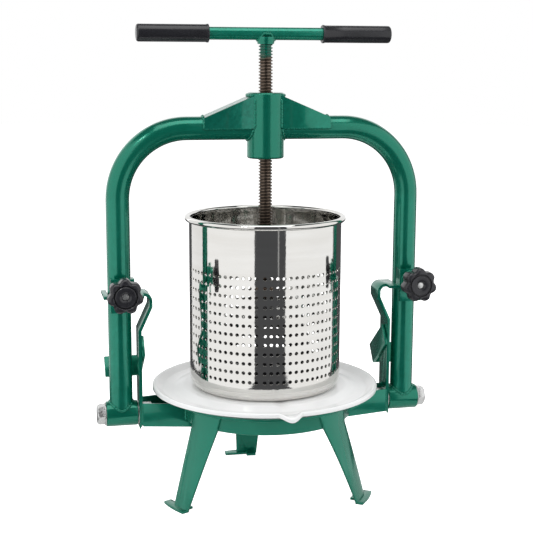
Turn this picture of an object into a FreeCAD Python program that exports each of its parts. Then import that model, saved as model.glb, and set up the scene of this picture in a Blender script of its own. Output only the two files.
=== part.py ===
"""Basket wine press on three legs: tilting screw yoke, perforated basket and juice tray.

Millimetres, +Z up. The origin is on the floor under the basket's axis, +X runs along the yoke's span
and -Y is the front, where the juice lip and the locking knobs are.
"""

import FreeCAD
import Part
import math
import os

# Driving dimensions -------------------------------------------------------------------------------
# Base ring, an angle section rolled round the basket's axis
RING_RADIUS = 115.0
RING_WALL = 3.0
RING_BOTTOM = 109.0
RING_TOP = 132.0
RING_FLANGE_RADIUS = 124.0

# Legs, strips of a cone that stand on the floor with a bent foot
LEG_SHEET = 3.0
LEG_FLOOR_RADIUS = 139.0
LEG_TOP_WIDTH = 47.0
LEG_FLOOR_WIDTH = 29.0
LEG_ANGLES = {
    "front_left": (-142.0, -153.7, -1),
    "front_right": (-54.4, -35.2, 1),
    "rear": (88.8, 88.8, 1),
}  # angle of the top, angle of the foot, side of the tab
FIRST_BOLT_ANGLE = -33.5
FOOT_INNER_RADIUS = 124.0
FOOT_OUTER_RADIUS = 146.0
FOOT_HOLE_RADIUS = 2.75
FOOT_CIRCLE_RADIUS = 130.5
FOOT_TAB_LENGTH = 17.0
FOOT_LUG_WIDTH = 13.0

# Arms, open channels from the ring to the pivots
ARM_SHEET = 2.5
ARM_BOTTOM = 100.0
ARM_TOP = 131.0
ARM_END = 165.5
ARM_END_HALF_WIDTH = 16.8
ARM_ROOT_HALF_WIDTH = 29.5
ARM_ROOT = 108.0
ARM_TONGUE_RADIUS = 104.0

# Pivot bolts
PIVOT_HEIGHT = 115.0
BOLT_RADIUS = 8.0
RUNNING_CLEARANCE = 0.05
BODY_GAP = 0.3
NUT_FLATS = 24.0
NUT_LENGTH = 13.0
BOLT_HEAD_LENGTH = 10.0
BOLT_HEAD_SEAT = 213.6
WASHER_THICKNESS = 1.5
WASHER_RADIUS = 15.0

# Lock straps, bent flat bar with a forked shelf round the front of each post
STRAP_THICKNESS = 4.0
STRAP_HALF_WIDTH = 16.0
STRAP_TIP = 96.0
STRAP_BEND_HEIGHT = 226.5
STRAP_LEAN_HEIGHT = 258.0
STRAP_LEAN_INWARD = 14.5
SHELF_TOP = 277.0
SHELF_END = 214.0
SHELF_FRONT = -30.0
SHELF_CURL_RADIUS = 11.0
FORK_CLEARANCE = 0.6

# Cradles, folded plates behind the posts that catch the tilted yoke
CRADLE_PLATE = 4.0
CRADLE_HEIGHT = 29.0
CRADLE_FRONT = (-11.5, 207.0)
CRADLE_SLOPE = 37.0
CRADLE_LENGTH = 67.0
CRADLE_SPAN_END = 209.5

# Yoke: two posts bent into the crossbeam, hub, gussets and pivot sleeves
POST_RADIUS = 15.0
POST_WALL = 2.5
POST_OFFSET = 192.0
CROSSBEAM_HEIGHT = 485.0
BEND_RADIUS = 89.0
SLEEVE_RADIUS = 16.5
SLEEVE_INNER_END = 171.4
SLEEVE_OUTER_END = 211.8
HUB_RADIUS = 24.0
HUB_BOTTOM = 446.0
HUB_TOP = 530.0
HUB_FILLET = 3.0
GUSSET_SHEET = 2.5
GUSSET_END = 82.0
GUSSET_AXIS_TOP = 534.0
GUSSET_END_TOP = 499.0

# Screw, swivel foot and handle
SCREW_RADIUS = 9.0
SCREW_PIN_RADIUS = 6.0
SCREW_PIN_LENGTH = 9.0
FOOT_BOTTOM = 262.0
FOOT_HEIGHT = 14.0
SWIVEL_RADIUS = 13.0
HANDLE_HEIGHT = 604.0
HANDLE_BAR_RADIUS = 8.0
HANDLE_HALF_LENGTH = 160.0
COLLAR_HEIGHT = 5.0
COLLAR_RADIUS = 12.0
GRIP_RADIUS = 11.0
GRIP_END = 166.0
GRIP_LENGTH = 92.0

# Tray, a pressed dish with a raised middle, a gutter and a lip
TRAY_SHEET = 2.0
TRAY_RIM_RADIUS = 149.6
TRAY_RIM_HEIGHT = 148.0
TRAY_SKIRT_BOTTOM = 142.5
GUTTER_FLOOR = 141.5
GUTTER_OUTER_RADIUS = 136.0
GUTTER_INNER_RADIUS = 122.0
TRAY_FOOT_RADIUS = 117.0
TRAY_FOOT_BOTTOM = 132.3
TABLE_RADIUS = 108.0
TABLE_TOP = 146.0
LIP_RADIUS = 8.0
LIP_BOSS_RADIUS = 13.0
LIP_BOSS_CENTRE = 147.0
LIP_BOTTOM = 138.5
LIP_FALL = 1.0

# Basket and press plate
BASKET_RADIUS = 98.0
BASKET_SHEET = 1.5
BASKET_BOTTOM = 146.3
BASKET_CORNER = 13.0
BASKET_RIM_HEIGHT = 368.85
RIM_BEAD_RADIUS = 3.7
RIM_BEAD_CIRCLE = 101.4
PLATE_BOTTOM = 148.1
PLATE_RADIUS = 94.5
PLATE_FOOT_RADIUS = 84.0
PLATE_WEB = 4.0
PLATE_HEIGHT = 14.0
PLATE_RIM_WALL = 4.0
PLATE_RIB_COUNT = 6
CUP_OUTER_RADIUS = 19.0
CUP_INNER_RADIUS = 14.0
CUP_HEIGHT = 20.0

# Locking knobs: bracket and threaded bush on the strap, stud, washer and lobed knob
KNOB_AXIS_HEIGHT = 284.0
KNOB_OFFSET = 190.5
BRACKET_HALF_WIDTH = 15.0
BRACKET_BACK = -30.5
BRACKET_SHEET = 3.0
BRACKET_BOTTOM = 256.0
BRACKET_TOP = 299.0
BUSH_RADIUS = 12.0
BUSH_FRONT = -46.0
STUD_RADIUS = 5.0
STUD_TIP = -15.4
STUD_END = -72.0
KNOB_BACK = -48.5
KNOB_SHOULDER = -54.0
KNOB_FACE = -75.0
KNOB_RADIUS = 22.5
KNOB_SHOULDER_RADIUS = 12.0
KNOB_LOBES = 7
KNOB_NOTCH_RADIUS = 6.5
KNOB_NOTCH_CIRCLE = 25.5
KNOB_RECESS_RADIUS = 4.5

X_AXIS = FreeCAD.Vector(1, 0, 0)
Y_AXIS = FreeCAD.Vector(0, 1, 0)
Z_AXIS = FreeCAD.Vector(0, 0, 1)
ORIGIN = FreeCAD.Vector(0, 0, 0)
SIDES = (("left", -1.0), ("right", 1.0))


# Helpers ------------------------------------------------------------------------------------------
def vector(x, y, z):
    """A point or direction."""
    return FreeCAD.Vector(x, y, z)


def cylinder(radius, start, end):
    """A round bar between two points."""
    along = end.sub(start)
    return Part.makeCylinder(radius, along.Length, start, along)


def box(x_range, y_range, z_range):
    """A block between two values along each axis, in either order."""
    low = [min(pair) for pair in (x_range, y_range, z_range)]
    size = [abs(pair[1] - pair[0]) for pair in (x_range, y_range, z_range)]
    return Part.makeBox(*size, vector(*low))


def turned(profile):
    """A solid of revolution about Z from (radius, height) corners."""
    points = [vector(radius, 0, height) for radius, height in profile]
    face = Part.Face(Part.makePolygon(points + points[:1]))
    return face.revolve(ORIGIN, Z_AXIS, 360)


def prism(points, direction):
    """A flat outline pushed along a direction."""
    return Part.Face(Part.makePolygon(points + points[:1])).extrude(direction)


def hexagon(flats, start, length_x):
    """A hexagonal bar along X with two of its flats level."""
    corner = flats / math.sqrt(3)
    points = [
        vector(start.x, start.y + corner * math.cos(turn), start.z + corner * math.sin(turn))
        for turn in (math.radians(60 * step) for step in range(6))
    ]
    return prism(points, vector(length_x, 0, 0))


def mirrored(shape, side):
    """The shape as modelled on the right, or its mirror on the left."""
    if side > 0:
        return shape
    return shape.mirror(ORIGIN, X_AXIS)


def save(shape, node):
    """Write one node's STEP file."""
    shape.exportStep("parts/" + node + ".step")


# Base ---------------------------------------------------------------------------------------------
def base_ring():
    """Rolled angle: an upright band with a flange on top that the tray rests on."""
    inner = RING_RADIUS - RING_WALL
    flange_bottom = RING_TOP - RING_WALL
    return turned([
        (inner, RING_BOTTOM),
        (RING_RADIUS, RING_BOTTOM),
        (RING_RADIUS, flange_bottom),
        (RING_FLANGE_RADIUS, flange_bottom),
        (RING_FLANGE_RADIUS, RING_TOP),
        (inner, RING_TOP),
    ])


def leg(top_angle, foot_angle, tab_side):
    """One leg; angles are measured round +Z from +X, and the tab points round that way or back."""
    top = RING_TOP - RING_WALL
    wall = turned([
        (RING_RADIUS, top),
        (RING_RADIUS + LEG_SHEET, top),
        (RING_RADIUS + LEG_SHEET, RING_BOTTOM),
        (LEG_FLOOR_RADIUS, LEG_SHEET),
        (LEG_FLOOR_RADIUS, 0),
        (LEG_FLOOR_RADIUS - LEG_SHEET, 0),
        (LEG_FLOOR_RADIUS - LEG_SHEET, LEG_SHEET),
        (RING_RADIUS, RING_BOTTOM),
    ])
    middle = math.radians((top_angle + foot_angle) / 2)
    out = vector(math.cos(middle), math.sin(middle), 0)
    across = vector(-math.sin(middle), math.cos(middle), 0)

    def edge_point(radius, angle, offset, height):
        shift = radius * math.sin(math.radians(angle) - middle) + offset
        return out * 90 + across * shift + Z_AXIS * height

    blade = prism([
        edge_point(RING_RADIUS, top_angle, -LEG_TOP_WIDTH / 2, top + 1),
        edge_point(RING_RADIUS, top_angle, LEG_TOP_WIDTH / 2, top + 1),
        edge_point(LEG_FLOOR_RADIUS, foot_angle, LEG_FLOOR_WIDTH / 2, -1),
        edge_point(LEG_FLOOR_RADIUS, foot_angle, -LEG_FLOOR_WIDTH / 2, -1),
    ], out * 70)
    return wall.common(blade).fuse(foot(foot_angle, tab_side)).removeSplitter()


def foot(angle, tab_side):
    """The sole bent out under a leg, a tab along the floor circle and a lug with the bolt hole.

    The three bolt holes stand evenly on their circle, so each lug turns a little from its leg.
    """
    plate = turned([
        (FOOT_INNER_RADIUS, 0),
        (FOOT_OUTER_RADIUS, 0),
        (FOOT_OUTER_RADIUS, LEG_SHEET),
        (FOOT_INNER_RADIUS, LEG_SHEET),
    ])
    half = LEG_FLOOR_WIDTH / 2
    sole = box((LEG_FLOOR_RADIUS - LEG_SHEET, 200), (-half, half), (-1, LEG_SHEET + 1))
    tab_inner = LEG_FLOOR_RADIUS - 2.5 * LEG_SHEET
    tab = box((tab_inner, 200), (0, tab_side * (half + FOOT_TAB_LENGTH)), (-1, LEG_SHEET + 1))
    lug = box((0, LEG_FLOOR_RADIUS), (-FOOT_LUG_WIDTH / 2, FOOT_LUG_WIDTH / 2), (-1, LEG_SHEET + 1))
    outline = sole.fuse(tab)
    outline.rotate(ORIGIN, Z_AXIS, angle)
    bolt_angle = FIRST_BOLT_ANGLE + 120 * round((angle - FIRST_BOLT_ANGLE) / 120)
    lug.rotate(ORIGIN, Z_AXIS, bolt_angle)
    outline = outline.fuse(lug)
    turn = math.radians(bolt_angle)
    centre = vector(FOOT_CIRCLE_RADIUS * math.cos(turn), FOOT_CIRCLE_RADIUS * math.sin(turn), -1)
    hole = Part.makeCylinder(FOOT_HOLE_RADIUS, LEG_SHEET + 2, centre)
    return plate.common(outline).cut(hole)


def arm():
    """Right arm: an open channel that widens from the pivot to the ring."""
    def channel(inset, bottom, top, end):
        return prism([
            vector(ARM_ROOT - 40, -(ARM_ROOT_HALF_WIDTH + 9.5 - inset), bottom),
            vector(ARM_ROOT - 40, ARM_ROOT_HALF_WIDTH + 9.5 - inset, bottom),
            vector(end, ARM_END_HALF_WIDTH - inset, bottom),
            vector(end, -(ARM_END_HALF_WIDTH - inset), bottom),
        ], Z_AXIS * (top - bottom))

    outside = channel(0, ARM_BOTTOM, ARM_TOP, ARM_END)
    inside = channel(ARM_SHEET, ARM_BOTTOM + ARM_SHEET, ARM_TOP + 1, ARM_END + 1)
    below_flange = Part.makeCylinder(
        RING_FLANGE_RADIUS, RING_WALL + 10, vector(0, 0, RING_TOP - RING_WALL))
    ring_space = Part.makeCylinder(RING_RADIUS, 60, vector(0, 0, RING_BOTTOM))
    below_ring = Part.makeCylinder(ARM_TONGUE_RADIUS, 20, vector(0, 0, ARM_BOTTOM - 10))
    return outside.cut(inside).cut(ring_space).cut(below_ring).cut(below_flange)


# Pivots -------------------------------------------------------------------------------------------
def pivot_bolt():
    """Right pivot bolt: hexagon head outside the sleeve, shank through sleeve, strap and nut."""
    head = hexagon(NUT_FLATS, vector(BOLT_HEAD_SEAT, 0, PIVOT_HEIGHT), BOLT_HEAD_LENGTH)
    crown = Part.makeCone(
        NUT_FLATS * 0.475 + BOLT_HEAD_LENGTH, NUT_FLATS * 0.475, BOLT_HEAD_LENGTH,
        vector(BOLT_HEAD_SEAT, 0, PIVOT_HEIGHT), X_AXIS)
    inner_end = ARM_END - NUT_LENGTH - 4
    shank = cylinder(
        BOLT_RADIUS, vector(inner_end, 0, PIVOT_HEIGHT), vector(BOLT_HEAD_SEAT, 0, PIVOT_HEIGHT))
    return head.common(crown).fuse(shank).removeSplitter()


def pivot_nut():
    """Right pivot nut, inside the arm's end against the strap."""
    start = vector(ARM_END - NUT_LENGTH, 0, PIVOT_HEIGHT)
    bore = cylinder(BOLT_RADIUS, vector(ARM_END - 30, 0, PIVOT_HEIGHT),
                    vector(ARM_END + 10, 0, PIVOT_HEIGHT))
    return hexagon(NUT_FLATS, start, NUT_LENGTH).cut(bore)


def pivot_washer(start):
    """A washer on the right pivot bolt, from a place along X outwards."""
    disc = cylinder(WASHER_RADIUS, vector(start, 0, PIVOT_HEIGHT),
                    vector(start + WASHER_THICKNESS, 0, PIVOT_HEIGHT))
    bore = cylinder(BOLT_RADIUS, vector(start - 1, 0, PIVOT_HEIGHT),
                    vector(start + WASHER_THICKNESS + 1, 0, PIVOT_HEIGHT))
    return disc.cut(bore)


def pivot_sleeve():
    """Right pivot sleeve, the tube across the foot of the post that turns on the bolt."""
    outer = cylinder(SLEEVE_RADIUS, vector(SLEEVE_INNER_END, 0, PIVOT_HEIGHT),
                     vector(SLEEVE_OUTER_END, 0, PIVOT_HEIGHT))
    bore = cylinder(BOLT_RADIUS + RUNNING_CLEARANCE, vector(SLEEVE_INNER_END - 1, 0, PIVOT_HEIGHT),
                    vector(SLEEVE_OUTER_END + 1, 0, PIVOT_HEIGHT))
    return outer.cut(bore)


# Lock straps and cradles --------------------------------------------------------------------------
def lock_strap():
    """Right strap: a flat bar that stands on the arm's end and hooks round the front of the post."""
    face = ARM_END
    lean = face - STRAP_LEAN_INWARD
    shelf_bottom = SHELF_TOP - STRAP_THICKNESS
    curl = SHELF_CURL_RADIUS
    inner_curl = curl - STRAP_THICKNESS
    diagonal = curl * math.sqrt(0.5)
    inner_diagonal = inner_curl * math.sqrt(0.5)
    centre_x = lean + curl
    centre_z = SHELF_TOP - curl

    def at(x, z):
        return vector(x, -STRAP_HALF_WIDTH, z)

    outline = Part.Wire([
        Part.makeLine(at(face, STRAP_TIP + 6), at(face, STRAP_BEND_HEIGHT)),
        Part.makeLine(at(face, STRAP_BEND_HEIGHT), at(lean, STRAP_LEAN_HEIGHT)),
        Part.makeLine(at(lean, STRAP_LEAN_HEIGHT), at(lean, centre_z)),
        Part.Arc(at(lean, centre_z), at(centre_x - diagonal, centre_z + diagonal),
                 at(centre_x, SHELF_TOP)).toShape(),
        Part.makeLine(at(centre_x, SHELF_TOP), at(SHELF_END, SHELF_TOP)),
        Part.makeLine(at(SHELF_END, SHELF_TOP), at(SHELF_END, shelf_bottom)),
        Part.makeLine(at(SHELF_END, shelf_bottom), at(centre_x, shelf_bottom)),
        Part.Arc(at(centre_x, shelf_bottom),
                 at(centre_x - inner_diagonal, centre_z + inner_diagonal),
                 at(lean + STRAP_THICKNESS, centre_z)).toShape(),
        Part.makeLine(at(lean + STRAP_THICKNESS, centre_z),
                      at(lean + STRAP_THICKNESS, STRAP_LEAN_HEIGHT + 1)),
        Part.makeLine(at(lean + STRAP_THICKNESS, STRAP_LEAN_HEIGHT + 1),
                      at(face + STRAP_THICKNESS, STRAP_BEND_HEIGHT + 1)),
        Part.makeLine(at(face + STRAP_THICKNESS, STRAP_BEND_HEIGHT + 1),
                      at(face + STRAP_THICKNESS, STRAP_TIP)),
        Part.makeLine(at(face + STRAP_THICKNESS, STRAP_TIP), at(face, STRAP_TIP + 6)),
    ])
    bar = Part.Face(outline).extrude(Y_AXIS * (2 * STRAP_HALF_WIDTH))
    shelf_inner = centre_x + 1
    fork = box((shelf_inner, SHELF_END), (SHELF_FRONT, -STRAP_HALF_WIDTH), (shelf_bottom, SHELF_TOP))
    reach = POST_RADIUS + FORK_CLEARANCE
    slot = box((POST_OFFSET - reach, POST_OFFSET + reach), (-reach, STRAP_HALF_WIDTH + 1),
               (shelf_bottom - 1, SHELF_TOP + 1))
    hole = cylinder(BOLT_RADIUS, vector(face - 1, 0, PIVOT_HEIGHT),
                    vector(face + STRAP_THICKNESS + 1, 0, PIVOT_HEIGHT))
    return bar.fuse(fork).removeSplitter().cut(slot).cut(hole)


def cradle():
    """Right cradle: a folded plate, one leaf on the strap and the other behind the post."""
    slope = math.radians(CRADLE_SLOPE)
    back = vector(0, math.cos(slope), -math.sin(slope))
    up = vector(0, math.sin(slope), math.cos(slope))
    start = vector(0, CRADLE_FRONT[0], CRADLE_FRONT[1]).sub(up * (CRADLE_HEIGHT / 2))

    def plate(x_start, x_end, from_length, to_length):
        corner = start.add(back * from_length).add(X_AXIS * x_start)
        length = back * (to_length - from_length)
        return prism([corner, corner.add(length), corner.add(length).add(up * CRADLE_HEIGHT),
                      corner.add(up * CRADLE_HEIGHT)], X_AXIS * (x_end - x_start))

    inner = ARM_END - CRADLE_PLATE
    side = plate(inner, ARM_END, 0, CRADLE_LENGTH)
    rear = plate(inner, CRADLE_SPAN_END, CRADLE_LENGTH - CRADLE_PLATE, CRADLE_LENGTH)
    return side.fuse(rear).removeSplitter()


# Yoke ---------------------------------------------------------------------------------------------
def bent_bar(radius):
    """A round bar along the right half of the yoke, from the pivot to the middle."""
    post_top = CROSSBEAM_HEIGHT - BEND_RADIUS
    post = cylinder(radius, vector(POST_OFFSET, 0, PIVOT_HEIGHT), vector(POST_OFFSET, 0, post_top))
    beam = cylinder(radius, vector(POST_OFFSET - BEND_RADIUS, 0, CROSSBEAM_HEIGHT),
                    vector(0, 0, CROSSBEAM_HEIGHT))
    section = Part.Face(Part.Wire(Part.makeCircle(radius, vector(POST_OFFSET, 0, post_top), Z_AXIS)))
    centre = vector(POST_OFFSET - BEND_RADIUS, 0, post_top)
    bend = section.revolve(centre, vector(0, -1, 0), 90)
    return post.fuse(bend).fuse(beam)


def yoke_post():
    """Right post and its half of the crossbeam, a bent tube coped to the sleeve and the hub."""
    sleeve = cylinder(SLEEVE_RADIUS, vector(POST_OFFSET - 40, 0, PIVOT_HEIGHT),
                      vector(POST_OFFSET + 40, 0, PIVOT_HEIGHT))
    hub_space = Part.makeCylinder(HUB_RADIUS, HUB_TOP - HUB_BOTTOM, vector(0, 0, HUB_BOTTOM))
    tube = bent_bar(POST_RADIUS).cut(bent_bar(POST_RADIUS - POST_WALL))
    return tube.cut(sleeve).cut(hub_space)


def hub():
    """The screw's boss in the middle of the crossbeam."""
    body = Part.makeCylinder(HUB_RADIUS, HUB_TOP - HUB_BOTTOM, vector(0, 0, HUB_BOTTOM))
    rims = [edge for edge in body.Edges if isinstance(edge.Curve, Part.Circle)]
    body = body.makeFillet(HUB_FILLET, rims)
    bore = Part.makeCylinder(SCREW_RADIUS + RUNNING_CLEARANCE, 200, vector(0, 0, HUB_BOTTOM - 50))
    return body.cut(bore)


def gusset():
    """Right gusset: a folded saddle over the crossbeam, deepest at the hub."""
    def saddle(half_width, lift, x_start, x_end):
        return prism([
            vector(x_start, -half_width, CROSSBEAM_HEIGHT - lift),
            vector(x_end, -half_width, CROSSBEAM_HEIGHT - lift),
            vector(x_end, -half_width, GUSSET_END_TOP - GUSSET_SHEET * (lift > 0)),
            vector(x_start, -half_width, GUSSET_AXIS_TOP - GUSSET_SHEET * (lift > 0)),
        ], Y_AXIS * (2 * half_width))

    outside = saddle(POST_RADIUS + GUSSET_SHEET, 0, 0, GUSSET_END)
    inside = saddle(POST_RADIUS, 1, -1, GUSSET_END - GUSSET_SHEET)
    beam = cylinder(POST_RADIUS, ORIGIN.add(Z_AXIS * CROSSBEAM_HEIGHT),
                    vector(GUSSET_END + 5, 0, CROSSBEAM_HEIGHT))
    hub_space = Part.makeCylinder(HUB_RADIUS, 120, vector(0, 0, HUB_BOTTOM))
    return outside.cut(inside).cut(beam).cut(hub_space)


# Screw and handle ---------------------------------------------------------------------------------
def handle_bar_space(clearance=0.0):
    """The round space that the handle bar takes."""
    reach = HANDLE_HALF_LENGTH
    return cylinder(HANDLE_BAR_RADIUS + clearance, vector(-reach, 0, HANDLE_HEIGHT),
                    vector(reach, 0, HANDLE_HEIGHT))


def press_screw():
    """Plain bar at the thread's outer size, with a turned pin for the swivel foot."""
    shoulder = FOOT_BOTTOM + FOOT_HEIGHT + BODY_GAP
    bar = Part.makeCylinder(SCREW_RADIUS, HANDLE_HEIGHT - shoulder, vector(0, 0, shoulder))
    pin = Part.makeCylinder(
        SCREW_PIN_RADIUS, SCREW_PIN_LENGTH, vector(0, 0, shoulder - SCREW_PIN_LENGTH))
    return bar.fuse(pin).cut(handle_bar_space()).removeSplitter()


def screw_foot():
    """Swivel button under the screw that presses on the plate without turning."""
    body = Part.makeCylinder(SWIVEL_RADIUS, FOOT_HEIGHT, vector(0, 0, FOOT_BOTTOM))
    lower_rim = [edge for edge in body.Edges
                 if isinstance(edge.Curve, Part.Circle) and edge.Curve.Center.z < FOOT_BOTTOM + 1]
    body = body.makeFillet(HUB_FILLET, lower_rim)
    floor = FOOT_BOTTOM + FOOT_HEIGHT - SCREW_PIN_LENGTH
    socket = Part.makeCylinder(
        SCREW_PIN_RADIUS + RUNNING_CLEARANCE, SCREW_PIN_LENGTH + 5, vector(0, 0, floor))
    return body.cut(socket)


def handle_collar():
    """Weld collar that joins the handle bar to the top of the screw."""
    bottom = HANDLE_HEIGHT - HANDLE_BAR_RADIUS - COLLAR_HEIGHT
    middle = HANDLE_HEIGHT - HANDLE_BAR_RADIUS * 0.5
    return turned([
        (SCREW_RADIUS, bottom),
        (SCREW_RADIUS + 1.5, bottom),
        (COLLAR_RADIUS, middle - 3),
        (COLLAR_RADIUS, middle),
        (SCREW_RADIUS, middle),
    ]).cut(handle_bar_space())


def handle_grip():
    """Right grip: a moulded sleeve with a domed closed end."""
    start = GRIP_END - GRIP_LENGTH
    body = cylinder(GRIP_RADIUS, vector(start, 0, HANDLE_HEIGHT), vector(GRIP_END, 0, HANDLE_HEIGHT))
    rims = [edge for edge in body.Edges if isinstance(edge.Curve, Part.Circle)]
    return body.makeFillet(HUB_FILLET, rims).cut(handle_bar_space())


# Tray, basket and plate ---------------------------------------------------------------------------
def drip_tray():
    """Pressed dish: raised table, shallow gutter, turned-down rim, foot ring and a pouring lip."""
    sheet = TRAY_SHEET
    edge = TRAY_RIM_RADIUS
    floor = GUTTER_FLOOR
    foot_inner = TRAY_FOOT_RADIUS
    foot_outer = TRAY_FOOT_RADIUS + sheet
    dish = turned([
        (0, TABLE_TOP),
        (TABLE_RADIUS, TABLE_TOP),
        (GUTTER_INNER_RADIUS, floor),
        (GUTTER_OUTER_RADIUS, floor),
        (edge - 2 * sheet, TRAY_RIM_HEIGHT),
        (edge, TRAY_RIM_HEIGHT),
        (edge, TRAY_SKIRT_BOTTOM),
        (edge - sheet, TRAY_SKIRT_BOTTOM),
        (edge - sheet, TRAY_RIM_HEIGHT - sheet),
        (edge - 1.5 * sheet, TRAY_RIM_HEIGHT - sheet),
        (GUTTER_OUTER_RADIUS + 1, floor - sheet),
        (foot_outer, floor - sheet),
        (foot_outer, TRAY_FOOT_BOTTOM),
        (foot_inner, TRAY_FOOT_BOTTOM),
        (foot_inner, floor - sheet + 1),
        (TABLE_RADIUS - 1, TABLE_TOP - sheet),
        (0, TABLE_TOP - sheet),
    ])
    boss = Part.makeCylinder(
        LIP_BOSS_RADIUS, TRAY_RIM_HEIGHT - 1 - LIP_BOTTOM, vector(0, -LIP_BOSS_CENTRE, LIP_BOTTOM))
    boss = boss.cut(Part.makeCylinder(GUTTER_OUTER_RADIUS + 1, 60, vector(0, 0, 120)))
    channel_height = floor + LIP_RADIUS
    channel = cylinder(
        LIP_RADIUS, vector(0, -GUTTER_OUTER_RADIUS, channel_height),
        vector(0, -LIP_BOSS_CENTRE - 2 * LIP_BOSS_RADIUS, channel_height - LIP_FALL))
    return dish.fuse(boss).cut(channel).removeSplitter()


def basket():
    """Drawn cup with a rounded bottom corner and a rolled rim; the wall is plain here."""
    def cup(radius, bottom, corner, top):
        body = Part.makeCylinder(radius, top - bottom, vector(0, 0, bottom))
        rim = [edge for edge in body.Edges
               if isinstance(edge.Curve, Part.Circle) and edge.Curve.Center.z < bottom + 1]
        return body.makeFillet(corner, rim)

    outside = cup(BASKET_RADIUS, BASKET_BOTTOM, BASKET_CORNER, BASKET_RIM_HEIGHT)
    inside = cup(BASKET_RADIUS - BASKET_SHEET, BASKET_BOTTOM + BASKET_SHEET,
                 BASKET_CORNER - BASKET_SHEET, BASKET_RIM_HEIGHT + 30)
    bead = Part.makeTorus(RIM_BEAD_CIRCLE, RIM_BEAD_RADIUS, vector(0, 0, BASKET_RIM_HEIGHT))
    return outside.cut(inside).fuse(bead.cut(inside)).removeSplitter()


def press_plate():
    """Loose moulded plate with a chamfered edge, a raised rim, ribs and a cup for the swivel foot."""
    bottom = PLATE_BOTTOM
    web_top = bottom + PLATE_WEB
    rim_top = bottom + PLATE_HEIGHT
    chamfer = PLATE_RADIUS - PLATE_FOOT_RADIUS
    disc = turned([
        (0, bottom),
        (PLATE_FOOT_RADIUS, bottom),
        (PLATE_RADIUS, bottom + chamfer),
        (PLATE_RADIUS, rim_top),
        (PLATE_RADIUS - PLATE_RIM_WALL, rim_top),
        (PLATE_RADIUS - PLATE_RIM_WALL, bottom + chamfer),
        (PLATE_FOOT_RADIUS - PLATE_RIM_WALL, web_top),
        (0, web_top),
    ])
    rib = box((CUP_INNER_RADIUS, PLATE_RADIUS - 2), (-2, 2), (web_top - 1, rim_top - 2))
    for index in range(PLATE_RIB_COUNT):
        spoke = rib.copy()
        spoke.rotate(ORIGIN, Z_AXIS, index * 360 / PLATE_RIB_COUNT)
        disc = disc.fuse(spoke)
    cup = Part.makeCylinder(CUP_OUTER_RADIUS, CUP_HEIGHT, vector(0, 0, bottom))
    hollow = Part.makeCylinder(CUP_INNER_RADIUS, CUP_HEIGHT, vector(0, 0, web_top + 2))
    return disc.fuse(cup).cut(hollow).removeSplitter()


# Locking knobs ------------------------------------------------------------------------------------
def lock_bracket():
    """Right bracket: a front plate with two cheeks that stand on the strap's shelf."""
    low_x = KNOB_OFFSET - BRACKET_HALF_WIDTH
    high_x = KNOB_OFFSET + BRACKET_HALF_WIDTH
    front = BRACKET_BACK - BRACKET_SHEET
    plate = box((low_x, high_x), (front, BRACKET_BACK), (BRACKET_BOTTOM, BRACKET_TOP))
    cheeks = [box((x, x + BRACKET_SHEET), (BRACKET_BACK, -POST_RADIUS - 3), (SHELF_TOP, BRACKET_TOP))
              for x in (low_x, high_x - BRACKET_SHEET)]
    bush_hole = cylinder(BUSH_RADIUS, vector(KNOB_OFFSET, 0, KNOB_AXIS_HEIGHT),
                         vector(KNOB_OFFSET, -60, KNOB_AXIS_HEIGHT))
    shelf = box((low_x - 1, high_x + 1), (SHELF_FRONT, 0),
                (SHELF_TOP - STRAP_THICKNESS, SHELF_TOP))
    return plate.fuse(cheeks[0]).fuse(cheeks[1]).removeSplitter().cut(bush_hole).cut(shelf)


def lock_bush():
    """Right threaded bush for the knob's stud, welded through the bracket above the shelf."""
    axis_start = vector(KNOB_OFFSET, -POST_RADIUS - 3, KNOB_AXIS_HEIGHT)
    body = cylinder(BUSH_RADIUS, axis_start, vector(KNOB_OFFSET, BUSH_FRONT, KNOB_AXIS_HEIGHT))
    bore = cylinder(STUD_RADIUS + RUNNING_CLEARANCE, vector(KNOB_OFFSET, 0, KNOB_AXIS_HEIGHT),
                    vector(KNOB_OFFSET, BUSH_FRONT - 5, KNOB_AXIS_HEIGHT))
    shelf = box((150, 250), (SHELF_FRONT, 0), (SHELF_TOP - STRAP_THICKNESS, SHELF_TOP))
    below = box((150, 250), (SHELF_FRONT, 0), (0, SHELF_TOP - STRAP_THICKNESS))
    return body.cut(bore).cut(shelf).cut(below)


def knob_stud():
    """Right stud, a plain bar at the thread's outer size with a pointed tip at the post."""
    body = cylinder(STUD_RADIUS, vector(KNOB_OFFSET, STUD_TIP, KNOB_AXIS_HEIGHT),
                    vector(KNOB_OFFSET, STUD_END, KNOB_AXIS_HEIGHT))
    rims = [edge for edge in body.Edges if isinstance(edge.Curve, Part.Circle)]
    return body.makeChamfer(1.0, rims)


def knob():
    """Right lobed knob with a shoulder behind, a centre recess in front and a hole for the stud."""
    def along(y):
        return vector(KNOB_OFFSET, y, KNOB_AXIS_HEIGHT)

    head = cylinder(KNOB_RADIUS, along(KNOB_SHOULDER), along(KNOB_FACE))
    rims = [edge for edge in head.Edges if isinstance(edge.Curve, Part.Circle)]
    head = head.makeFillet(HUB_FILLET, rims)
    for index in range(KNOB_LOBES):
        turn = math.radians(90 + (index + 0.5) * 360 / KNOB_LOBES)
        shift = vector(KNOB_NOTCH_CIRCLE * math.cos(turn), 0, KNOB_NOTCH_CIRCLE * math.sin(turn))
        head = head.cut(cylinder(KNOB_NOTCH_RADIUS, along(0).add(shift), along(-100).add(shift)))
    shoulder = cylinder(KNOB_SHOULDER_RADIUS, along(KNOB_BACK), along(KNOB_SHOULDER - 2))
    recess = cylinder(KNOB_RECESS_RADIUS, along(STUD_END - 0.01), along(KNOB_FACE - 5))
    hole = cylinder(STUD_RADIUS, along(KNOB_BACK + 5), along(STUD_END))
    return head.fuse(shoulder).removeSplitter().cut(recess).cut(hole)


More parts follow.
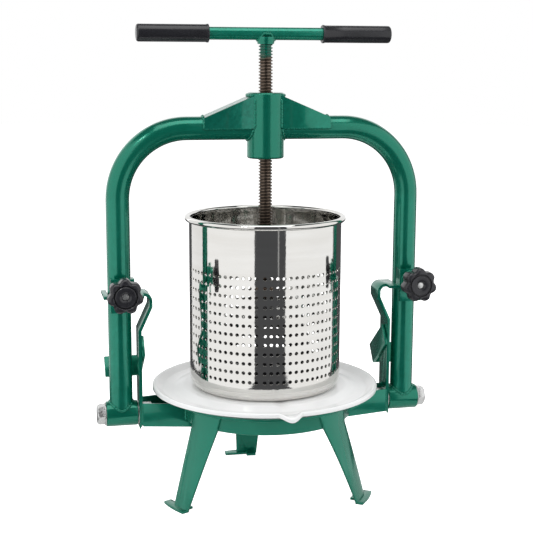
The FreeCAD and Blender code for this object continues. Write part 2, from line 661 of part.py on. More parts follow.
def knob_washer():
    """Right washer between the knob's shoulder and the bush."""
    back = BUSH_FRONT - BODY_GAP
    front = KNOB_BACK + BODY_GAP
    disc = cylinder(KNOB_SHOULDER_RADIUS + 1, vector(KNOB_OFFSET, back, KNOB_AXIS_HEIGHT),
                    vector(KNOB_OFFSET, front, KNOB_AXIS_HEIGHT))
    bore = cylinder(STUD_RADIUS + RUNNING_CLEARANCE, vector(KNOB_OFFSET, 0, KNOB_AXIS_HEIGHT),
                    vector(KNOB_OFFSET, -100, KNOB_AXIS_HEIGHT))
    return disc.cut(bore)


def washers():
    """Both washers of the right pivot: one against the strap, one under the bolt's head."""
    inner = pivot_washer(ARM_END + STRAP_THICKNESS)
    outer = pivot_washer(BOLT_HEAD_SEAT - WASHER_THICKNESS)
    return Part.makeCompound([inner, outer])


PAIRED_PIECES = {
    "arm": arm,
    "pivot_bolt": pivot_bolt,
    "pivot_nut": pivot_nut,
    "pivot_washers": washers,
    "pivot_sleeve": pivot_sleeve,
    "lock_strap": lock_strap,
    "cradle": cradle,
    "yoke_post": yoke_post,
    "gusset": gusset,
    "handle_grip": handle_grip,
    "lock_bracket": lock_bracket,
    "lock_bush": lock_bush,
    "knob_stud": knob_stud,
    "knob": knob,
    "knob_washer": knob_washer,
}

SINGLE_PIECES = {
    "base_ring": base_ring,
    "hub": hub,
    "press_screw": press_screw,
    "screw_foot": screw_foot,
    "handle_bar": handle_bar_space,
    "handle_collar": handle_collar,
    "drip_tray": drip_tray,
    "basket": basket,
    "press_plate": press_plate,
}


def build():
    """Write every node."""
    os.makedirs("parts", exist_ok=True)
    for node, make in SINGLE_PIECES.items():
        save(make(), node)
    for node, make in PAIRED_PIECES.items():
        piece = make()
        for name, side in SIDES:
            save(mirrored(piece, side), node + "_" + name)
    for name, (top_angle, foot_angle, tab_side) in LEG_ANGLES.items():
        save(leg(top_angle, foot_angle, tab_side), "leg_" + name)


build()
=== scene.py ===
"""Looks of a basket wine press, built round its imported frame. Metres, +Z up, -Y to the front."""

import logging
import math
from collections.abc import Callable, Iterable, Sequence
from dataclasses import dataclass, field
from enum import Enum
from functools import lru_cache

import bmesh
import bpy
from mathutils import Matrix, Vector


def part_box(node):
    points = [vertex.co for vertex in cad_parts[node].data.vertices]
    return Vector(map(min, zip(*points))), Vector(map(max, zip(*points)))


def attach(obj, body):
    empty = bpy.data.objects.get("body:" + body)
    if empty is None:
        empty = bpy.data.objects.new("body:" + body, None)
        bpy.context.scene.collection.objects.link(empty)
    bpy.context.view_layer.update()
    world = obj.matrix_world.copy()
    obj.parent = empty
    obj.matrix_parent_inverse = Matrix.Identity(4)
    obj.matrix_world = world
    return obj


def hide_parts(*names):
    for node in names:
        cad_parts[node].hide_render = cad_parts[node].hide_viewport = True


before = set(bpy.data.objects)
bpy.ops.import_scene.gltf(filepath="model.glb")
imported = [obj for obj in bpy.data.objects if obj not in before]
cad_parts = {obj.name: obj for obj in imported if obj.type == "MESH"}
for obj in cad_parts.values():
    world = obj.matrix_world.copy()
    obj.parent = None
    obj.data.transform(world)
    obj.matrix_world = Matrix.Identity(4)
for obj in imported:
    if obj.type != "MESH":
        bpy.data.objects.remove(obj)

LOG = logging.getLogger("wine_press")

MERGE = 1e-6
SEAM_MERGE = 1e-5

Colour = tuple[float, float, float]
Station = tuple[float, float]
Place = Callable[[Vector], Vector]


class Body(Enum):
    """The moving bodies of the frame."""

    BASE = "base"
    YOKE = "yoke"
    SWIVEL = "swivel"
    SCREW = "screw"
    TRAY = "tray"
    BASKET = "basket"
    PLATE = "plate"
    LEFT_WASHER = "left_washer"
    LEFT_KNOB = "left_knob"
    RIGHT_WASHER = "right_washer"
    RIGHT_KNOB = "right_knob"


class Slot(Enum):
    """The record's material slots."""

    GREEN_ENAMEL = "green_enamel"
    WHITE_ENAMEL = "white_enamel"
    STAINLESS = "stainless"
    BARE_STEEL = "bare_steel"
    ZINC = "zinc"
    BLACK_PLASTIC = "black_plastic"


class Side(Enum):
    """The two ends of the yoke's span, with the sign of X."""

    LEFT = -1.0
    RIGHT = 1.0

    @property
    def label(self) -> str:
        """The side's name as node names end."""
        return self.name.lower()


# Shader nodes -------------------------------------------------------------------------------------
class NodeSheet:
    """Adds and joins the nodes of one material, group or world."""

    def __init__(self, tree: bpy.types.NodeTree) -> None:
        """Take an empty tree.

        Args:
            tree: The node tree to fill.
        """
        self.tree = tree
        tree.nodes.clear()

    def add(self, kind: str, inputs: dict[str | int, object] | None = None,
            **settings: object) -> bpy.types.Node:
        """Add a node, set its options and feed its sockets.

        Args:
            kind: The node's type name.
            inputs: A value or an output socket for each named or numbered input.
            settings: Options of the node itself.

        Returns:
            The node.
        """
        node = self.tree.nodes.new(kind)
        for name, value in settings.items():
            setattr(node, name, value)
        for socket, value in (inputs or {}).items():
            if isinstance(value, bpy.types.NodeSocket):
                self.tree.links.new(value, node.inputs[socket])
            else:
                node.inputs[socket].default_value = value
        return node

    def math(self, operation: str, first: object, second: object = 0.0,
             clamp: bool = False) -> bpy.types.NodeSocket:
        """One sum, product or other operation on two values.

        Args:
            operation: The Math node's operation.
            first: The first value or socket.
            second: The second value or socket.
            clamp: Whether the result stays between 0 and 1.

        Returns:
            The result's socket.
        """
        node = self.add("ShaderNodeMath", {0: first, 1: second}, operation=operation, use_clamp=clamp)
        return node.outputs[0]

    def blend(self, share: object, first: object, second: object) -> bpy.types.NodeSocket:
        """Mix two colours by a share.

        Args:
            share: 0 for the first colour, 1 for the second.
            first: A colour or socket.
            second: A colour or socket.

        Returns:
            The mixed colour's socket.
        """
        node = self.add("ShaderNodeMix", data_type="RGBA")
        for socket, value in ((node.inputs[0], share), (node.inputs[6], first), (node.inputs[7], second)):
            if isinstance(value, bpy.types.NodeSocket):
                self.tree.links.new(value, socket)
            else:
                socket.default_value = (*value, 1.0) if isinstance(value, tuple) else value
        return node.outputs[2]

    def spread(self, value: object, low: float, high: float, from_low: float = 0.0,
               from_high: float = 1.0) -> bpy.types.NodeSocket:
        """Map a value from one range to another, held at the ends.

        Args:
            value: The socket to map.
            low: Result at from_low.
            high: Result at from_high.
            from_low: Start of the value's range.
            from_high: End of the value's range.

        Returns:
            The mapped value's socket.
        """
        node = self.add("ShaderNodeMapRange", {0: value, 1: from_low, 2: from_high, 3: low, 4: high})
        return node.outputs[0]


class EffectGroup:
    """A shader group with named inputs and outputs that several finishes share."""

    def __init__(self, name: str, inputs: dict[str, tuple[str, float]], outputs: Sequence[str]) -> None:
        """Make the group's sockets.

        Args:
            name: The group's name.
            inputs: The type and starting value of each input.
            outputs: The names of the value outputs.
        """
        self.tree = bpy.data.node_groups.new(name, "ShaderNodeTree")
        for socket, (kind, start) in inputs.items():
            made = self.tree.interface.new_socket(name=socket, in_out="INPUT", socket_type=kind)
            if kind == "NodeSocketFloat":
                made.default_value = start
        for socket in outputs:
            self.tree.interface.new_socket(name=socket, in_out="OUTPUT", socket_type="NodeSocketFloat")
        self.sheet = NodeSheet(self.tree)
        self.inputs = self.sheet.add("NodeGroupInput").outputs

    def give(self, **results: object) -> None:
        """Feed the group's outputs.

        Args:
            results: The socket for each output.
        """
        self.sheet.add("NodeGroupOutput", results)


@lru_cache(maxsize=None)
def paint_skin() -> bpy.types.NodeTree:
    """Orange peel and slow sags of a sprayed or baked coat.

    Returns:
        A group giving Height for a bump, and Gloss, which varies round 0.5.
    """
    group = EffectGroup("paint_skin", {
        "Vector": ("NodeSocketVector", 0.0), "Peel Scale": ("NodeSocketFloat", 380.0),
        "Sag Scale": ("NodeSocketFloat", 45.0), "Sag Share": ("NodeSocketFloat", 0.5),
    }, ("Height", "Gloss"))
    sheet, given = group.sheet, group.inputs
    peel = sheet.add("ShaderNodeTexNoise", {
        "Vector": given["Vector"], "Scale": given["Peel Scale"], "Detail": 1.5, "Roughness": 0.4})
    sag = sheet.add("ShaderNodeTexNoise", {
        "Vector": given["Vector"], "Scale": given["Sag Scale"], "Detail": 2.0, "Roughness": 0.45})
    heavy = sheet.math("MULTIPLY", sag.outputs["Fac"], given["Sag Share"])
    group.give(Height=sheet.math("ADD", peel.outputs["Fac"], heavy), Gloss=sag.outputs["Fac"])
    return group.tree


@lru_cache(maxsize=None)
def edge_wear() -> bpy.types.NodeTree:
    """Thin or rubbed coat along convex edges, broken up by noise.

    Returns:
        A group giving Mask, 1 where the coat is thin.
    """
    group = EffectGroup("edge_wear", {
        "Vector": ("NodeSocketVector", 0.0), "Scale": ("NodeSocketFloat", 160.0),
        "Start": ("NodeSocketFloat", 0.52), "Amount": ("NodeSocketFloat", 0.5),
    }, ("Mask",))
    sheet, given = group.sheet, group.inputs
    point = sheet.add("ShaderNodeNewGeometry").outputs["Pointiness"]
    above = sheet.math("MULTIPLY", sheet.math("SUBTRACT", point, given["Start"]), 14.0, clamp=True)
    speckle = sheet.add("ShaderNodeTexNoise", {
        "Vector": given["Vector"], "Scale": given["Scale"], "Detail": 4.0}).outputs["Fac"]
    broken = sheet.math("MULTIPLY", above, sheet.spread(speckle, 0.25, 1.0, 0.35, 0.6))
    group.give(Mask=sheet.math("MULTIPLY", broken, given["Amount"], clamp=True))
    return group.tree


@lru_cache(maxsize=None)
def mottle() -> bpy.types.NodeTree:
    """Soft blotches of tone.

    Returns:
        A group giving Mask between 0 and 1.
    """
    group = EffectGroup("mottle", {
        "Vector": ("NodeSocketVector", 0.0), "Scale": ("NodeSocketFloat", 20.0),
        "Contrast": ("NodeSocketFloat", 1.0),
    }, ("Mask",))
    sheet, given = group.sheet, group.inputs
    cloud = sheet.add("ShaderNodeTexNoise", {
        "Vector": given["Vector"], "Scale": given["Scale"], "Detail": 5.0, "Roughness": 0.6})
    centred = sheet.math("MULTIPLY", sheet.math("SUBTRACT", cloud.outputs["Fac"], 0.5), given["Contrast"])
    group.give(Mask=sheet.math("ADD", centred, 0.5, clamp=True))
    return group.tree


@lru_cache(maxsize=None)
def brushed_grain() -> bpy.types.NodeTree:
    """Fine lines from turning, rolling or brushing, stretched along one direction.

    Returns:
        A group giving Height for a bump and Tone, which varies round 0.5.
    """
    group = EffectGroup("brushed_grain", {
        "Vector": ("NodeSocketVector", 0.0), "Along": ("NodeSocketFloat", 12.0),
        "Up": ("NodeSocketFloat", 1500.0),
    }, ("Height", "Tone"))
    sheet, given = group.sheet, group.inputs
    stretch = sheet.add("ShaderNodeCombineXYZ", {0: given["Along"], 1: given["Along"], 2: given["Up"]})
    scaled = sheet.add("ShaderNodeVectorMath", {0: given["Vector"], 1: stretch.outputs[0]},
                       operation="MULTIPLY")
    lines = sheet.add("ShaderNodeTexNoise", {
        "Vector": scaled.outputs[0], "Scale": 1.0, "Detail": 3.0, "Roughness": 0.6}).outputs["Fac"]
    bands = sheet.add("ShaderNodeVectorMath", {0: scaled.outputs[0], 1: (1.0, 1.0, 0.06)},
                      operation="MULTIPLY")
    tone = sheet.add("ShaderNodeTexNoise", {
        "Vector": bands.outputs[0], "Scale": 1.0, "Detail": 2.0}).outputs["Fac"]
    group.give(Height=lines, Tone=tone)
    return group.tree


@lru_cache(maxsize=None)
def settled_dust() -> bpy.types.NodeTree:
    """A thin film on faces that look up.

    Returns:
        A group giving Mask.
    """
    group = EffectGroup("settled_dust", {
        "Vector": ("NodeSocketVector", 0.0), "Amount": ("NodeSocketFloat", 0.1)}, ("Mask",))
    sheet, given = group.sheet, group.inputs
    normal = sheet.add("ShaderNodeTexCoord").outputs["Normal"]
    up = sheet.add("ShaderNodeSeparateXYZ", {0: normal}).outputs[2]
    cloud = sheet.add("ShaderNodeTexNoise", {
        "Vector": given["Vector"], "Scale": 60.0, "Detail": 6.0}).outputs["Fac"]
    facing = sheet.math("MULTIPLY", sheet.spread(up, 0.0, 1.0, 0.4, 1.0), cloud)
    group.give(Mask=sheet.math("MULTIPLY", facing, given["Amount"], clamp=True))
    return group.tree


# Finishes -----------------------------------------------------------------------------------------
@dataclass(frozen=True)
class Finish:
    """A surface: its slot, colour and gloss, and the nodes that give it detail."""

    name: str
    slot: Slot
    colour: Colour
    roughness: float

    def material(self) -> bpy.types.Material:
        """Make the material, or give the one already made.

        Returns:
            The material.
        """
        made = bpy.data.materials.get(self.name)
        if made:
            return made
        made = bpy.data.materials.new(self.name)
        made.use_nodes = True
        sheet = NodeSheet(made.node_tree)
        shader = sheet.add("ShaderNodeBsdfPrincipled")
        sheet.add("ShaderNodeOutputMaterial", {"Surface": shader.outputs["BSDF"]})
        place = sheet.add("ShaderNodeTexCoord").outputs["Object"]
        self.dress(sheet, shader, place)
        return made

    def dress(self, sheet: NodeSheet, shader: bpy.types.Node, place: bpy.types.NodeSocket) -> None:
        """Feed the shader; each finish has its own way."""
        raise NotImplementedError

    def effect(self, sheet: NodeSheet, tree: bpy.types.NodeTree, place: bpy.types.NodeSocket,
               **values: float) -> bpy.types.NodeOutputs:
        """Place an effect group with this finish's own values.

        Args:
            sheet: The material's nodes.
            tree: The group.
            place: The coordinates it reads.
            values: Its inputs, with underscores for spaces.

        Returns:
            The group's outputs.
        """
        node = sheet.add("ShaderNodeGroup", node_tree=tree)
        sheet.tree.links.new(place, node.inputs["Vector"])
        for name, value in values.items():
            node.inputs[name.replace("_", " ")].default_value = value
        return node.outputs

    def bump(self, sheet: NodeSheet, shader: bpy.types.Node, height: bpy.types.NodeSocket,
             distance: float) -> None:
        """Raise the surface by a height value.

        Args:
            sheet: The material's nodes.
            shader: The Principled shader.
            height: The height, about 0 to 1.
            distance: How many metres a height of 1 is.
        """
        node = sheet.add("ShaderNodeBump", {"Height": height, "Distance": distance, "Strength": 1.0})
        sheet.tree.links.new(node.outputs["Normal"], shader.inputs["Normal"])


@dataclass(frozen=True)
class GreenEnamel(Finish):
    """Gloss powder coat, thinner and lighter on edges, a little darker where it pools."""

    pooled: Colour = (0.0, 0.135, 0.088)
    thin: Colour = (0.01, 0.30, 0.21)
    flake: float = 0.55
    clear_coat: float = 0.35
    coat_roughness: float = 0.05
    peel: float = 0.000009
    peel_scale: float = 330.0
    sag_share: float = 1.5

    def dress(self, sheet: NodeSheet, shader: bpy.types.Node, place: bpy.types.NodeSocket) -> None:
        """Feed colour, roughness and bump."""
        skin = self.effect(sheet, paint_skin(), place, Peel_Scale=self.peel_scale, Sag_Share=self.sag_share)
        blotch = self.effect(sheet, mottle(), place, Scale=9.0, Contrast=1.0)["Mask"]
        worn = self.effect(sheet, edge_wear(), place, Start=0.53, Amount=0.35)["Mask"]
        dust = self.effect(sheet, settled_dust(), place, Amount=0.015)["Mask"]
        body = sheet.blend(sheet.math("MULTIPLY", blotch, 0.3), self.colour, self.pooled)
        edged = sheet.blend(worn, body, self.thin)
        colour = sheet.blend(dust, edged, (0.55, 0.55, 0.5))
        sheet.tree.links.new(colour, shader.inputs["Base Color"])
        gloss = sheet.spread(skin["Gloss"], self.roughness - 0.03, self.roughness + 0.07, 0.3, 0.7)
        sheet.tree.links.new(sheet.math("ADD", gloss, dust), shader.inputs["Roughness"])
        shader.inputs["Metallic"].default_value = self.flake
        shader.inputs["Coat Weight"].default_value = self.clear_coat
        shader.inputs["Coat Roughness"].default_value = self.coat_roughness
        self.bump(sheet, shader, skin["Height"], self.peel)


@dataclass(frozen=True)
class WhiteEnamel(Finish):
    """Off-white gloss coat with faint clouding and fine pinholes."""

    def dress(self, sheet: NodeSheet, shader: bpy.types.Node, place: bpy.types.NodeSocket) -> None:
        """Feed colour, roughness and bump."""
        skin = self.effect(sheet, paint_skin(), place, Peel_Scale=260.0, Sag_Share=1.0)
        cloud = self.effect(sheet, mottle(), place, Scale=9.0, Contrast=1.4)["Mask"]
        specks = sheet.add("ShaderNodeTexVoronoi", {"Vector": place, "Scale": 170.0}).outputs["Distance"]
        pits = sheet.spread(specks, 1.0, 0.0, 0.035, 0.06)
        base = sheet.blend(sheet.math("MULTIPLY", cloud, 0.4), self.colour, (0.84, 0.85, 0.85))
        colour = sheet.blend(sheet.math("MULTIPLY", pits, 0.25), base, (0.5, 0.5, 0.47))
        sheet.tree.links.new(colour, shader.inputs["Base Color"])
        gloss = sheet.spread(skin["Gloss"], self.roughness - 0.03, self.roughness + 0.06, 0.3, 0.7)
        sheet.tree.links.new(gloss, shader.inputs["Roughness"])
        self.bump(sheet, shader, skin["Height"], 0.000015)


@dataclass(frozen=True)
class Stainless(Finish):
    """Sheet polished outside and brushed round the inside."""

    inner_roughness: float = 0.45
    inner_metal: float = 0.45

    def dress(self, sheet: NodeSheet, shader: bpy.types.Node, place: bpy.types.NodeSocket) -> None:
        """Feed colour, metal, roughness and bump."""
        inside = sheet.add("ShaderNodeAttribute", attribute_name="inner_wall").outputs["Fac"]
        grain = self.effect(sheet, brushed_grain(), place, Along=9.0, Up=1700.0)
        smear = self.effect(sheet, mottle(), place, Scale=16.0, Contrast=1.5)["Mask"]
        warm = sheet.blend(grain["Tone"], self.colour, (0.69, 0.67, 0.63))
        colour = sheet.blend(sheet.math("MULTIPLY", smear, 0.25), warm, (0.6, 0.6, 0.6))
        sheet.tree.links.new(colour, shader.inputs["Base Color"])
        metal = sheet.spread(inside, 1.0, self.inner_metal)
        sheet.tree.links.new(metal, shader.inputs["Metallic"])
        polish = sheet.spread(smear, self.roughness, self.roughness + 0.03, 0.25, 0.8)
        brushed = sheet.spread(grain["Tone"], self.inner_roughness - 0.05, self.inner_roughness + 0.08,
                               0.3, 0.7)
        gap = sheet.math("MULTIPLY", inside, sheet.math("SUBTRACT", brushed, polish))
        sheet.tree.links.new(sheet.math("ADD", polish, gap), shader.inputs["Roughness"])
        waves = self.effect(sheet, mottle(), place, Scale=22.0, Contrast=1.0)["Mask"]
        brush = sheet.math("MULTIPLY", grain["Height"], sheet.math("MULTIPLY", inside, 0.008))
        still = sheet.math("MULTIPLY", waves, sheet.spread(inside, 1.0, 0.1))
        self.bump(sheet, shader, sheet.math("ADD", still, brush), 0.00012)


@dataclass(frozen=True)
class ThreadSteel(Finish):
    """Rolled thread steel, dark oil in the roots, and overspray of paint near the top."""

    root: Colour = (0.035, 0.026, 0.02)
    paint: Colour = (0.0, 0.11, 0.07)
    paint_line: float = 10.0

    def dress(self, sheet: NodeSheet, shader: bpy.types.Node, place: bpy.types.NodeSocket) -> None:
        """Feed colour, metal, roughness and bump."""
        root = sheet.add("ShaderNodeAttribute", attribute_name="thread_root").outputs["Fac"]
        blotch = self.effect(sheet, mottle(), place, Scale=55.0, Contrast=2.2)["Mask"]
        grain = self.effect(sheet, mottle(), place, Scale=900.0, Contrast=2.0)["Mask"]
        oily = sheet.blend(blotch, self.colour, (0.16, 0.115, 0.085))
        metal = sheet.blend(sheet.math("MULTIPLY", root, 0.85), oily, self.root)
        height = sheet.add("ShaderNodeSeparateXYZ", {0: place}).outputs[2]
        ragged = sheet.math("ADD", height, sheet.math("MULTIPLY", blotch, 0.012))
        painted = sheet.spread(ragged, 0.0, 1.0, self.paint_line, self.paint_line + 0.005)
        colour = sheet.blend(painted, metal, self.paint)
        sheet.tree.links.new(colour, shader.inputs["Base Color"])
        sheet.tree.links.new(sheet.spread(painted, 0.9, 0.0), shader.inputs["Metallic"])
        rough = sheet.spread(blotch, self.roughness - 0.08, self.roughness + 0.12, 0.3, 0.7)
        sheet.tree.links.new(sheet.math("MULTIPLY", rough, sheet.spread(painted, 1.0, 0.55)),
                             shader.inputs["Roughness"])
        self.bump(sheet, shader, grain, 0.00002)


@dataclass(frozen=True)
class Zinc(Finish):
    """Bright plate with a faint crystalline tone."""

    def dress(self, sheet: NodeSheet, shader: bpy.types.Node, place: bpy.types.NodeSocket) -> None:
        """Feed colour, metal, roughness and bump."""
        cells = sheet.add("ShaderNodeTexVoronoi", {"Vector": place, "Scale": 420.0}).outputs["Distance"]
        cloud = self.effect(sheet, mottle(), place, Scale=120.0, Contrast=1.8)["Mask"]
        worn = self.effect(sheet, edge_wear(), place, Start=0.52, Amount=0.6)["Mask"]
        tint = sheet.blend(sheet.math("MULTIPLY", cloud, 0.7), self.colour, (0.62, 0.62, 0.58))
        colour = sheet.blend(worn, tint, (0.9, 0.9, 0.9))
        sheet.tree.links.new(colour, shader.inputs["Base Color"])
        shader.inputs["Metallic"].default_value = 1.0
        rough = sheet.spread(cells, self.roughness - 0.06, self.roughness + 0.1, 0.1, 0.6)
        sheet.tree.links.new(rough, shader.inputs["Roughness"])
        self.bump(sheet, shader, cloud, 0.00001)


@dataclass(frozen=True)
class Moulding(Finish):
    """Satin plastic: a fine pebble texture, rubbed lighter on its edges."""

    edge: Colour
    pebble: float
    pebble_scale: float

    def dress(self, sheet: NodeSheet, shader: bpy.types.Node, place: bpy.types.NodeSocket) -> None:
        """Feed colour, roughness and bump."""
        pebble = sheet.add("ShaderNodeTexVoronoi", {
            "Vector": place, "Scale": self.pebble_scale}, feature="SMOOTH_F1").outputs["Distance"]
        cloud = self.effect(sheet, mottle(), place, Scale=35.0, Contrast=1.5)["Mask"]
        worn = self.effect(sheet, edge_wear(), place, Start=0.515, Amount=0.6)["Mask"]
        dust = self.effect(sheet, settled_dust(), place, Amount=0.04)["Mask"]
        darker = tuple(0.75 * part for part in self.colour)
        body = sheet.blend(cloud, self.colour, darker)
        rubbed = sheet.blend(worn, body, self.edge)
        colour = sheet.blend(dust, rubbed, (0.4, 0.4, 0.38))
        sheet.tree.links.new(colour, shader.inputs["Base Color"])
        rough = sheet.spread(cloud, self.roughness - 0.05, self.roughness + 0.08, 0.25, 0.75)
        sheet.tree.links.new(rough, shader.inputs["Roughness"])
        self.bump(sheet, shader, pebble, self.pebble)


GREEN = GreenEnamel("green_coat", Slot.GREEN_ENAMEL, (0.0, 0.200, 0.125), 0.20)
# The left gusset's coat: its ripples are a real bump, but its darker colour is painted shade, a shaded copy
# of the green coat.
RIPPLED_SHADED_GREEN = GreenEnamel("rippled_shaded_green_coat", Slot.GREEN_ENAMEL, (0.0, 0.16, 0.105), 0.20,
                            peel=0.0003, peel_scale=120.0, sag_share=1.0)
WHITE = WhiteEnamel("white_coat", Slot.WHITE_ENAMEL, (0.95, 0.952, 0.955), 0.14)
POLISHED = Stainless("polished_sheet", Slot.STAINLESS, (0.83, 0.825, 0.80), 0.045)
THREAD = ThreadSteel("thread_steel", Slot.BARE_STEEL, (0.27, 0.215, 0.175), 0.36)
ZINC = Zinc("zinc_plate", Slot.ZINC, (0.74, 0.75, 0.76), 0.26)
BLACK = Moulding("satin_moulding", Slot.BLACK_PLASTIC, (0.016, 0.016, 0.020), 0.24,
                 edge=(0.06, 0.06, 0.07), pebble=0.00003, pebble_scale=900.0)


# Mesh work ----------------------------------------------------------------------------------------
def deliver(name: str, shape: bmesh.types.BMesh, finish: Finish, body: Body,
            replaced: Sequence[str] = (), crease: float = 35.0) -> bpy.types.Object:
    """Turn a finished shape into a piece that rides on a body.

    Args:
        name: The piece's name.
        shape: The shape, which is used up.
        finish: Its surface.
        body: The body it moves with.
        replaced: The frame nodes it stands for.
        crease: Faces that meet at more degrees than this keep a crisp edge.

    Returns:
        The piece.
    """
    mesh = bpy.data.meshes.new(name)
    shape.to_mesh(mesh)
    shape.free()
    mesh.polygons.foreach_set("use_smooth", [True] * len(mesh.polygons))
    mesh.set_sharp_from_angle(angle=math.radians(crease))
    mesh.materials.append(finish.material())
    piece = bpy.data.objects.new(name, mesh)
    bpy.context.scene.collection.objects.link(piece)
    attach(piece, body.value)
    if replaced:
        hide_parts(*replaced)
    LOG.info("%s: %d faces on body %s, finish %s", name, len(mesh.polygons), body.value, finish.name)
    return piece


def dress_nodes(finish: Finish, *nodes: str) -> None:
    """Give frame nodes that stay as they are their finish.

    Args:
        finish: The surface.
        nodes: The nodes' names.
    """
    for node in nodes:
        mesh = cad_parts[node].data
        mesh.materials.clear()
        mesh.materials.append(finish.material())
        LOG.info("%s: kept, finish %s", node, finish.name)


def softened(node: str, width: float, corner: float = 30.0, steps: int = 3) -> bmesh.types.BMesh:
    """A copy of a frame node's shape with its crisp edges rounded.

    Args:
        node: The frame node.
        width: The rounding's width.
        corner: Edges sharper than this many degrees are rounded.
        steps: Faces across each rounding.

    Returns:
        The shape.
    """
    shape = bmesh.new()
    shape.from_mesh(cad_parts[node].data)
    bmesh.ops.remove_doubles(shape, verts=shape.verts[:], dist=2e-6)
    bmesh.ops.dissolve_limit(shape, angle_limit=math.radians(0.8), verts=shape.verts[:],
                             edges=shape.edges[:])
    crisp = [edge for edge in shape.edges
             if edge.is_manifold and edge.calc_face_angle() > math.radians(corner)]
    bmesh.ops.bevel(shape, geom=crisp, offset=width, offset_type="OFFSET", segments=steps,
                    profile=0.5, affect="EDGES", clamp_overlap=True, material=-1)
    return shape


def draw_out(shape: bmesh.types.BMesh, rim: Sequence[bmesh.types.BMEdge],
             place: Place) -> list[bmesh.types.BMEdge]:
    """Extrude an open rim and move the new rim.

    Args:
        shape: The shape.
        rim: The edges of the rim.
        place: Where a point of the old rim goes.

    Returns:
        The new rim's edges.
    """
    made = bmesh.ops.extrude_edge_only(shape, edges=list(rim))["geom"]
    for vert in (part for part in made if isinstance(part, bmesh.types.BMVert)):
        vert.co = place(vert.co)
    return [part for part in made if isinstance(part, bmesh.types.BMEdge) and part.is_boundary]


def turned_point(point: Vector, radius: float, height: float) -> Vector:
    """A point moved to a radius and height round Z, keeping its angle.

    Args:
        point: The point, off the axis.
        radius: The new distance from the axis.
        height: The new height.

    Returns:
        The moved point.
    """
    angle = math.atan2(point.y, point.x)
    return Vector((radius * math.cos(angle), radius * math.sin(angle), height))


def turned_shell(stations: Sequence[Station], segments: int,
                 waver: Callable[[float, float, float], float] | None = None) -> bmesh.types.BMesh:
    """A closed turned shape round Z: a circle drawn out from station to station.

    Args:
        stations: The radius and height of each ring. The first and last are capped unless they
            are the same ring, which closes the shape like a tube.
        segments: Faces round.
        waver: The radius at an angle, a station's radius and its height, where it isn't round.

    Returns:
        The shape.
    """
    shape = bmesh.new()
    verts = bmesh.ops.create_circle(shape, cap_ends=False, segments=segments, radius=1.0)["verts"]
    rim = shape.edges[:]

    def place_at(radius: float, height: float) -> Place:
        def place(point: Vector) -> Vector:
            angle = math.atan2(point.y, point.x)
            return turned_point(point, waver(angle, radius, height) if waver else radius, height)
        return place

    first = place_at(*stations[0])
    for vert in verts:
        vert.co = first(vert.co)
    start = list(rim)
    for station in stations[1:]:
        rim = draw_out(shape, rim, place_at(*station))
    if stations[0] == stations[-1]:
        bmesh.ops.remove_doubles(shape, verts=shape.verts[:], dist=MERGE)
    else:
        bmesh.ops.holes_fill(shape, edges=start + rim, sides=0)
    bmesh.ops.recalc_face_normals(shape, faces=shape.faces[:])
    return shape


def rounded_chain(shape: bmesh.types.BMesh, points: Sequence[Station], radius: float,
                  steps: int) -> None:
    """An open outline in the XZ plane with its corners rounded.

    Args:
        shape: The shape it is added to.
        points: The distance from Z and the height of each corner.
        radius: How far from a corner its rounding starts.
        steps: Edges in each rounding.
    """
    verts = [shape.verts.new((across, 0.0, height)) for across, height in points]
    for first, second in zip(verts, verts[1:]):
        shape.edges.new((first, second))
    bmesh.ops.bevel(shape, geom=verts[1:-1], offset=radius, offset_type="OFFSET", segments=steps,
                    profile=0.5, affect="VERTICES", clamp_overlap=True, material=-1)


def full_spin(shape: bmesh.types.BMesh, steps: int) -> None:
    """Spin everything in a shape a full turn round Z.

    Args:
        shape: The shape, holding an outline.
        steps: Faces round.
    """
    bmesh.ops.spin(shape, geom=shape.verts[:] + shape.edges[:], cent=(0, 0, 0), axis=(0, 0, 1),
                   angle=math.tau, steps=steps, use_merge=True, use_duplicate=False)
    bmesh.ops.remove_doubles(shape, verts=shape.verts[:], dist=MERGE)


def weld_seams(name: str, paths: Sequence[Sequence[Vector]], size: float, body: Body) -> None:
    """Weld beads: rippled half-sunk ropes along paths, painted over.

    Args:
        name: The piece's name.
        paths: The middle line of each bead.
        size: The bead's radius.
        body: The body it rides on.
    """
    curve = bpy.data.curves.new(name + "_line", "CURVE")
    curve.dimensions = "3D"
    curve.bevel_depth = size
    curve.bevel_resolution = 2
    curve.use_fill_caps = True
    for path in paths:
        points = evenly_along(path, size * 0.55)
        spline = curve.splines.new("POLY")
        spline.points.add(len(points) - 1)
        for index, (spot, point) in enumerate(zip(points, spline.points)):
            point.co = (*spot, 1.0)
            tail = min(1.0, 0.45 + 0.3 * min(index, len(points) - 1 - index))
            point.radius = tail * (1.0 + 0.16 * math.sin(index * 1.9) + 0.07 * math.sin(index * 0.83))
    holder = bpy.data.objects.new(name + "_line", curve)
    bpy.context.scene.collection.objects.link(holder)
    graph = bpy.context.evaluated_depsgraph_get()
    mesh = bpy.data.meshes.new_from_object(holder.evaluated_get(graph))
    bpy.data.objects.remove(holder)
    shape = bmesh.new()
    shape.from_mesh(mesh)
    bpy.data.meshes.remove(mesh)
    bmesh.ops.remove_doubles(shape, verts=shape.verts[:], dist=MERGE)
    bmesh.ops.recalc_face_normals(shape, faces=shape.faces[:])
    deliver(name, shape, GREEN, body, crease=60.0)


def evenly_along(path: Sequence[Vector], gap: float) -> list[Vector]:
    """Points at equal spacing along a line of points.

    Args:
        path: The line's points.
        gap: The spacing wanted.

    Returns:
        The new points, ends included.
    """
    lengths = [0.0]
    for first, second in zip(path, path[1:]):
        lengths.append(lengths[-1] + (second - first).length)
    count = max(3, round(lengths[-1] / gap))
    points, piece = [], 0
    for index in range(count + 1):
        want = lengths[-1] * index / count
        while piece < len(path) - 2 and lengths[piece + 1] < want:
            piece += 1
        span = lengths[piece + 1] - lengths[piece] or 1.0
        points.append(path[piece].lerp(path[piece + 1], (want - lengths[piece]) / span))
    return points


